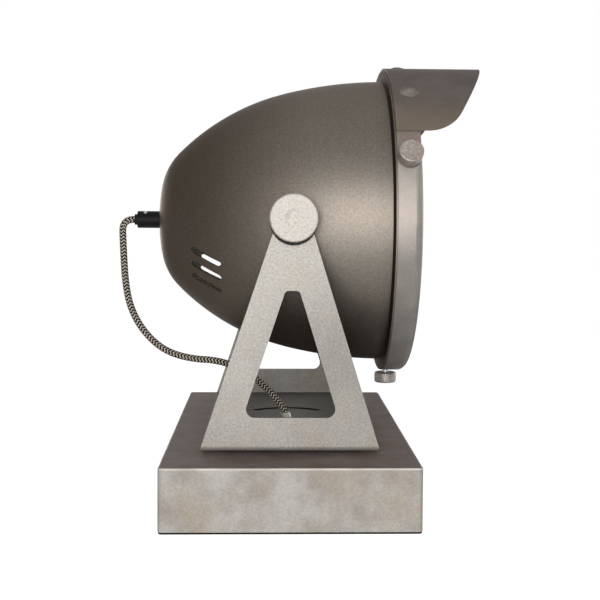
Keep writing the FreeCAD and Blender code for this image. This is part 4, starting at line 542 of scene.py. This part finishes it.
def evenly(points, step):
    """The same line in equal steps, and its length."""
    reached = [0.0]
    for a, b in zip(points, points[1:]):
        reached.append(reached[-1] + (b - a).length)
    count = max(2, round(reached[-1] / step))
    spread, i = [], 0
    for k in range(count + 1):
        wanted = reached[-1] * k / count
        while i < len(points) - 2 and reached[i + 1] < wanted:
            i += 1
        run = reached[i + 1] - reached[i]
        share = (wanted - reached[i]) / run if run else 0.0
        spread.append(points[i].lerp(points[i + 1], min(max(share, 0.0), 1.0)))
    return spread, reached[-1]


def braided_tube(name, route):
    """A tube in the plane Y = 0 with the braid's strands in relief, and its unrolled surface as UVs."""
    line, length = evenly(smooth_line(name + "_line", route), BRAID_ROW / RINGS_A_ROW)
    verts, faces, unrolled = [], [], []
    across = Vector((0.0, 1.0, 0.0))
    for i, here in enumerate(line):
        way = (line[min(i + 1, len(line) - 1)] - line[max(i - 1, 0)]).normalized()
        up = way.cross(across).normalized()
        rows = length * i / (len(line) - 1) / BRAID_ROW
        for j in range(RING_POINTS):
            turn = j / RING_POINTS
            zigzag = BRAID_LEAN * (1 - abs((turn * BRAID_WAVES + BRAID_START) % 1.0 - 0.5) * 2)
            ridge = abs(math.sin(math.pi * 2 * (rows + zigzag)))
            radius = CORD_RADIUS - BRAID_RELIEF * (1 - ridge)
            angle = 2 * math.pi * turn
            verts.append(here + across * radius * math.sin(angle) + up * radius * math.cos(angle))
    for i in range(len(line) - 1):
        for j in range(RING_POINTS):
            k = (j + 1) % RING_POINTS
            a, b = i * RING_POINTS, (i + 1) * RING_POINTS
            faces.append((a + j, b + j, b + k, a + k))
            v0, v1 = j / RING_POINTS, (j + 1) / RING_POINTS
            u0, u1 = length * i / (len(line) - 1), length * (i + 1) / (len(line) - 1)
            unrolled += [(u0, v0), (u1, v0), (u1, v1), (u0, v1)]
    last = (len(line) - 1) * RING_POINTS
    caps = [tuple(range(RING_POINTS))[::-1], tuple(range(last, last + RING_POINTS))]
    mesh = bpy.data.meshes.new(name)
    mesh.from_pydata(verts, [], faces + caps)
    layer = mesh.uv_layers.new(name="unrolled")
    for loop, place in zip(layer.data, unrolled):
        loop.uv = place
    mesh.polygons.foreach_set("use_smooth", [True] * len(mesh.polygons))
    mesh.update()
    made = bpy.data.objects.new(name, mesh)
    bpy.context.scene.collection.objects.link(made)
    return made, line, length


# Cotton is matt and fuzzy; the cream strands are narrower than the black ones and uneven in tone, and the
# fuzz of 0.3 mm is drawn at 1.1 mm.
CREAM_FROM, CREAM_TO = 0.2, 0.45                # on a swing from -1 to 1 across a black and a cream strand
braid, tree, shader = new_finish("cotton_braid", Roughness=0.85, Specular_IOR_Level=0.2)
cloth = add(tree, "ShaderNodeUVMap", uv_map="unrolled")
flat = add(tree, "ShaderNodeSeparateXYZ", {0: (cloth, 0)})
row = add(tree, "ShaderNodeMath", {0: (flat, "X"), 1: 1 / BRAID_ROW}, operation="MULTIPLY")
wave = add(tree, "ShaderNodeMath", {0: (flat, "Y"), 1: float(BRAID_WAVES), 2: BRAID_START},
           operation="MULTIPLY_ADD")
bounce = add(tree, "ShaderNodeMath", {0: (wave, 0), 1: 0.5}, operation="PINGPONG")
lean = add(tree, "ShaderNodeMath", {0: (bounce, 0), 1: 2 * BRAID_LEAN}, operation="MULTIPLY")
strand = add(tree, "ShaderNodeMath", {0: (row, 0), 1: (lean, 0)}, operation="ADD")
turn = add(tree, "ShaderNodeMath", {0: (strand, 0), 1: 2 * math.pi}, operation="MULTIPLY")
swing = add(tree, "ShaderNodeMath", {0: (turn, 0)}, operation="SINE")
cream_share = add(tree, "ShaderNodeMapRange", {0: (swing, 0), 1: CREAM_FROM, 2: CREAM_TO})
fuzz = add(tree, "ShaderNodeTexNoise", {"Vector": (cloth, 0), "Scale": 900.0, "Detail": 2.0})
cream_tone = add(tree, "ShaderNodeMix", {0: (fuzz, "Fac"), 6: linear("#a4998a"), 7: linear("#d2c8ba")},
                 data_type="RGBA")
two_tone = add(tree, "ShaderNodeMix", {0: (cream_share, "Result"), 6: linear("#0e0b0a"), 7: (cream_tone, 2)},
               data_type="RGBA")
threads = add(tree, "ShaderNodeBump", {"Height": (fuzz, "Fac"), "Strength": 0.4, "Distance": 0.0002})
tree.links.new(two_tone.outputs[2], shader.inputs["Base Color"])
tree.links.new(threads.outputs["Normal"], shader.inputs["Normal"])

cord, cord_line, cord_length = braided_tube("braided_cord", CORD_ROUTE)
cord.data.materials.append(braid)
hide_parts("head_cord")
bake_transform(cord)

tail = braided_tube("braided_tail", TAIL_ROUTE)[0]
tail.data.materials.append(braid)
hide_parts("cord_tail")
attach(tail, "base")


# ---- floor and light ----------------------------------------------------------------------------------
# A white sweep: the camera, glass and metal see it white, and it keeps the lamp's shadow. One soft lamp
# stands behind the camera and a little below it, and two weak ones fill the back from both sides.
def white_to_the_eye(tree, shaded, white):
    """Camera, glossy and transmitted rays see white; light that spreads sees the plain shade."""
    path = add(tree, "ShaderNodeLightPath")
    seen = add(tree, "ShaderNodeMath", {0: (path, "Is Camera Ray"), 1: (path, "Is Glossy Ray")},
               operation="MAXIMUM")
    seen = add(tree, "ShaderNodeMath", {0: (seen, 0), 1: (path, "Is Transmission Ray")},
               operation="MAXIMUM")
    return add(tree, "ShaderNodeMixShader", {0: (seen, 0), 1: (shaded, 0), 2: (white, 0)})


WORLD_SHADE = 0.06          # what the white room sends back to the lamp
world = bpy.data.worlds.new("white_studio")
bpy.context.scene.world = world
world.use_nodes = True
tree = world.node_tree
dim = add(tree, "ShaderNodeBackground", {"Color": [1.0, 1.0, 1.0, 1.0], "Strength": WORLD_SHADE})
full = add(tree, "ShaderNodeBackground", {"Color": [1.0, 1.0, 1.0, 1.0], "Strength": 1.0})
tree.links.new(white_to_the_eye(tree, dim, full).outputs[0], tree.nodes["World Output"].inputs["Surface"])

FLOOR_SIZE = 30.0
FLOOR_GREY = 0.8
FLOOR_GLOW = 0.88           # what is left of the white in the deepest shadow
SWEEP_FROM, SWEEP_TO = 0.5, 1.3     # from here to there the floor turns into the white background
bpy.ops.mesh.primitive_plane_add(size=FLOOR_SIZE)
floor = bpy.context.object
floor.name = "floor"
sweep = bpy.data.materials.new("white_sweep")
sweep.use_nodes = True
tree = sweep.node_tree
matt = tree.nodes["Principled BSDF"]
matt.inputs["Base Color"].default_value = (FLOOR_GREY, FLOOR_GREY, FLOOR_GREY, 1.0)
matt.inputs["Roughness"].default_value = 1.0
matt.inputs["Specular IOR Level"].default_value = 0.0
glow = add(tree, "ShaderNodeEmission", {"Strength": FLOOR_GLOW})
lit = add(tree, "ShaderNodeAddShader", {0: (matt, 0), 1: (glow, 0)})
place = add(tree, "ShaderNodeTexCoord")
away = add(tree, "ShaderNodeVectorMath", {0: (place, "Object")}, operation="LENGTH")
beyond = add(tree, "ShaderNodeMapRange", {0: (away, "Value"), 1: SWEEP_FROM, 2: SWEEP_TO})
white = add(tree, "ShaderNodeEmission", {"Strength": 1.0})
faded = add(tree, "ShaderNodeMixShader", {0: (beyond, "Result"), 1: (lit, 0), 2: (white, 0)})
tree.links.new(white_to_the_eye(tree, matt, faded).outputs[0],
               tree.nodes["Material Output"].inputs["Surface"])
floor.data.materials.append(sweep)

AIM = Vector((0.0, 0.0, 0.22))                  # the middle of the lamp
# Each lamp: its place, width and height, and its level on a white card that faces it at AIM.
for name, stand, wide, tall, level in (("softbox", (-0.07, -1.5, 0.22), 0.5, 1.1, 1.24),
                                       ("fill_behind", (-0.9, 1.5, 0.26), 1.2, 0.6, 0.36),
                                       ("fill_ahead", (1.5, 0.8, 0.26), 1.0, 0.6, 0.30)):
    lamp = bpy.data.lights.new(name, "AREA")
    lamp.shape = "RECTANGLE"
    lamp.size, lamp.size_y = wide, tall
    way = Vector(stand) - AIM
    lamp.energy = level * math.pi ** 2 * way.length_squared
    box = bpy.data.objects.new(name, lamp)
    box.location = stand
    box.rotation_euler = way.to_track_quat("Z", "Y").to_euler()
    bpy.context.scene.collection.objects.link(box)


# ---- camera -------------------------------------------------------------------------------------------
# It stands about a metre from the lamp's middle, level with the tilt axis and almost in line with it. A
# small shift sets the lamp in the middle of the frame.
IMAGE_SIDE = 600
FOCAL_PIXELS = 1032.7       # from the lens to the picture, in its pixels
OPTICAL_CENTRE_Y = 252      # row of the image that the lens points at
CAMERA_AT = Vector((-0.0175, -0.9707, 0.2519))
YAW, PITCH, ROLL = math.radians(1.69), math.radians(-2.20), math.radians(0.35)
view = bpy.data.cameras.new("camera")
view.sensor_width = 36.0
view.lens = FOCAL_PIXELS * view.sensor_width / IMAGE_SIDE
view.shift_y = (OPTICAL_CENTRE_Y - IMAGE_SIDE / 2) / IMAGE_SIDE
camera = bpy.data.objects.new("camera", view)
aim = Euler((math.pi / 2 + PITCH, 0.0, -YAW)).to_matrix() @ Matrix.Rotation(ROLL, 3, "Z")
camera.matrix_world = Matrix.Translation(CAMERA_AT) @ aim.to_4x4()
bpy.context.scene.collection.objects.link(camera)
bpy.context.scene.camera = camera

bpy.context.scene.view_settings.view_transform = "Standard"
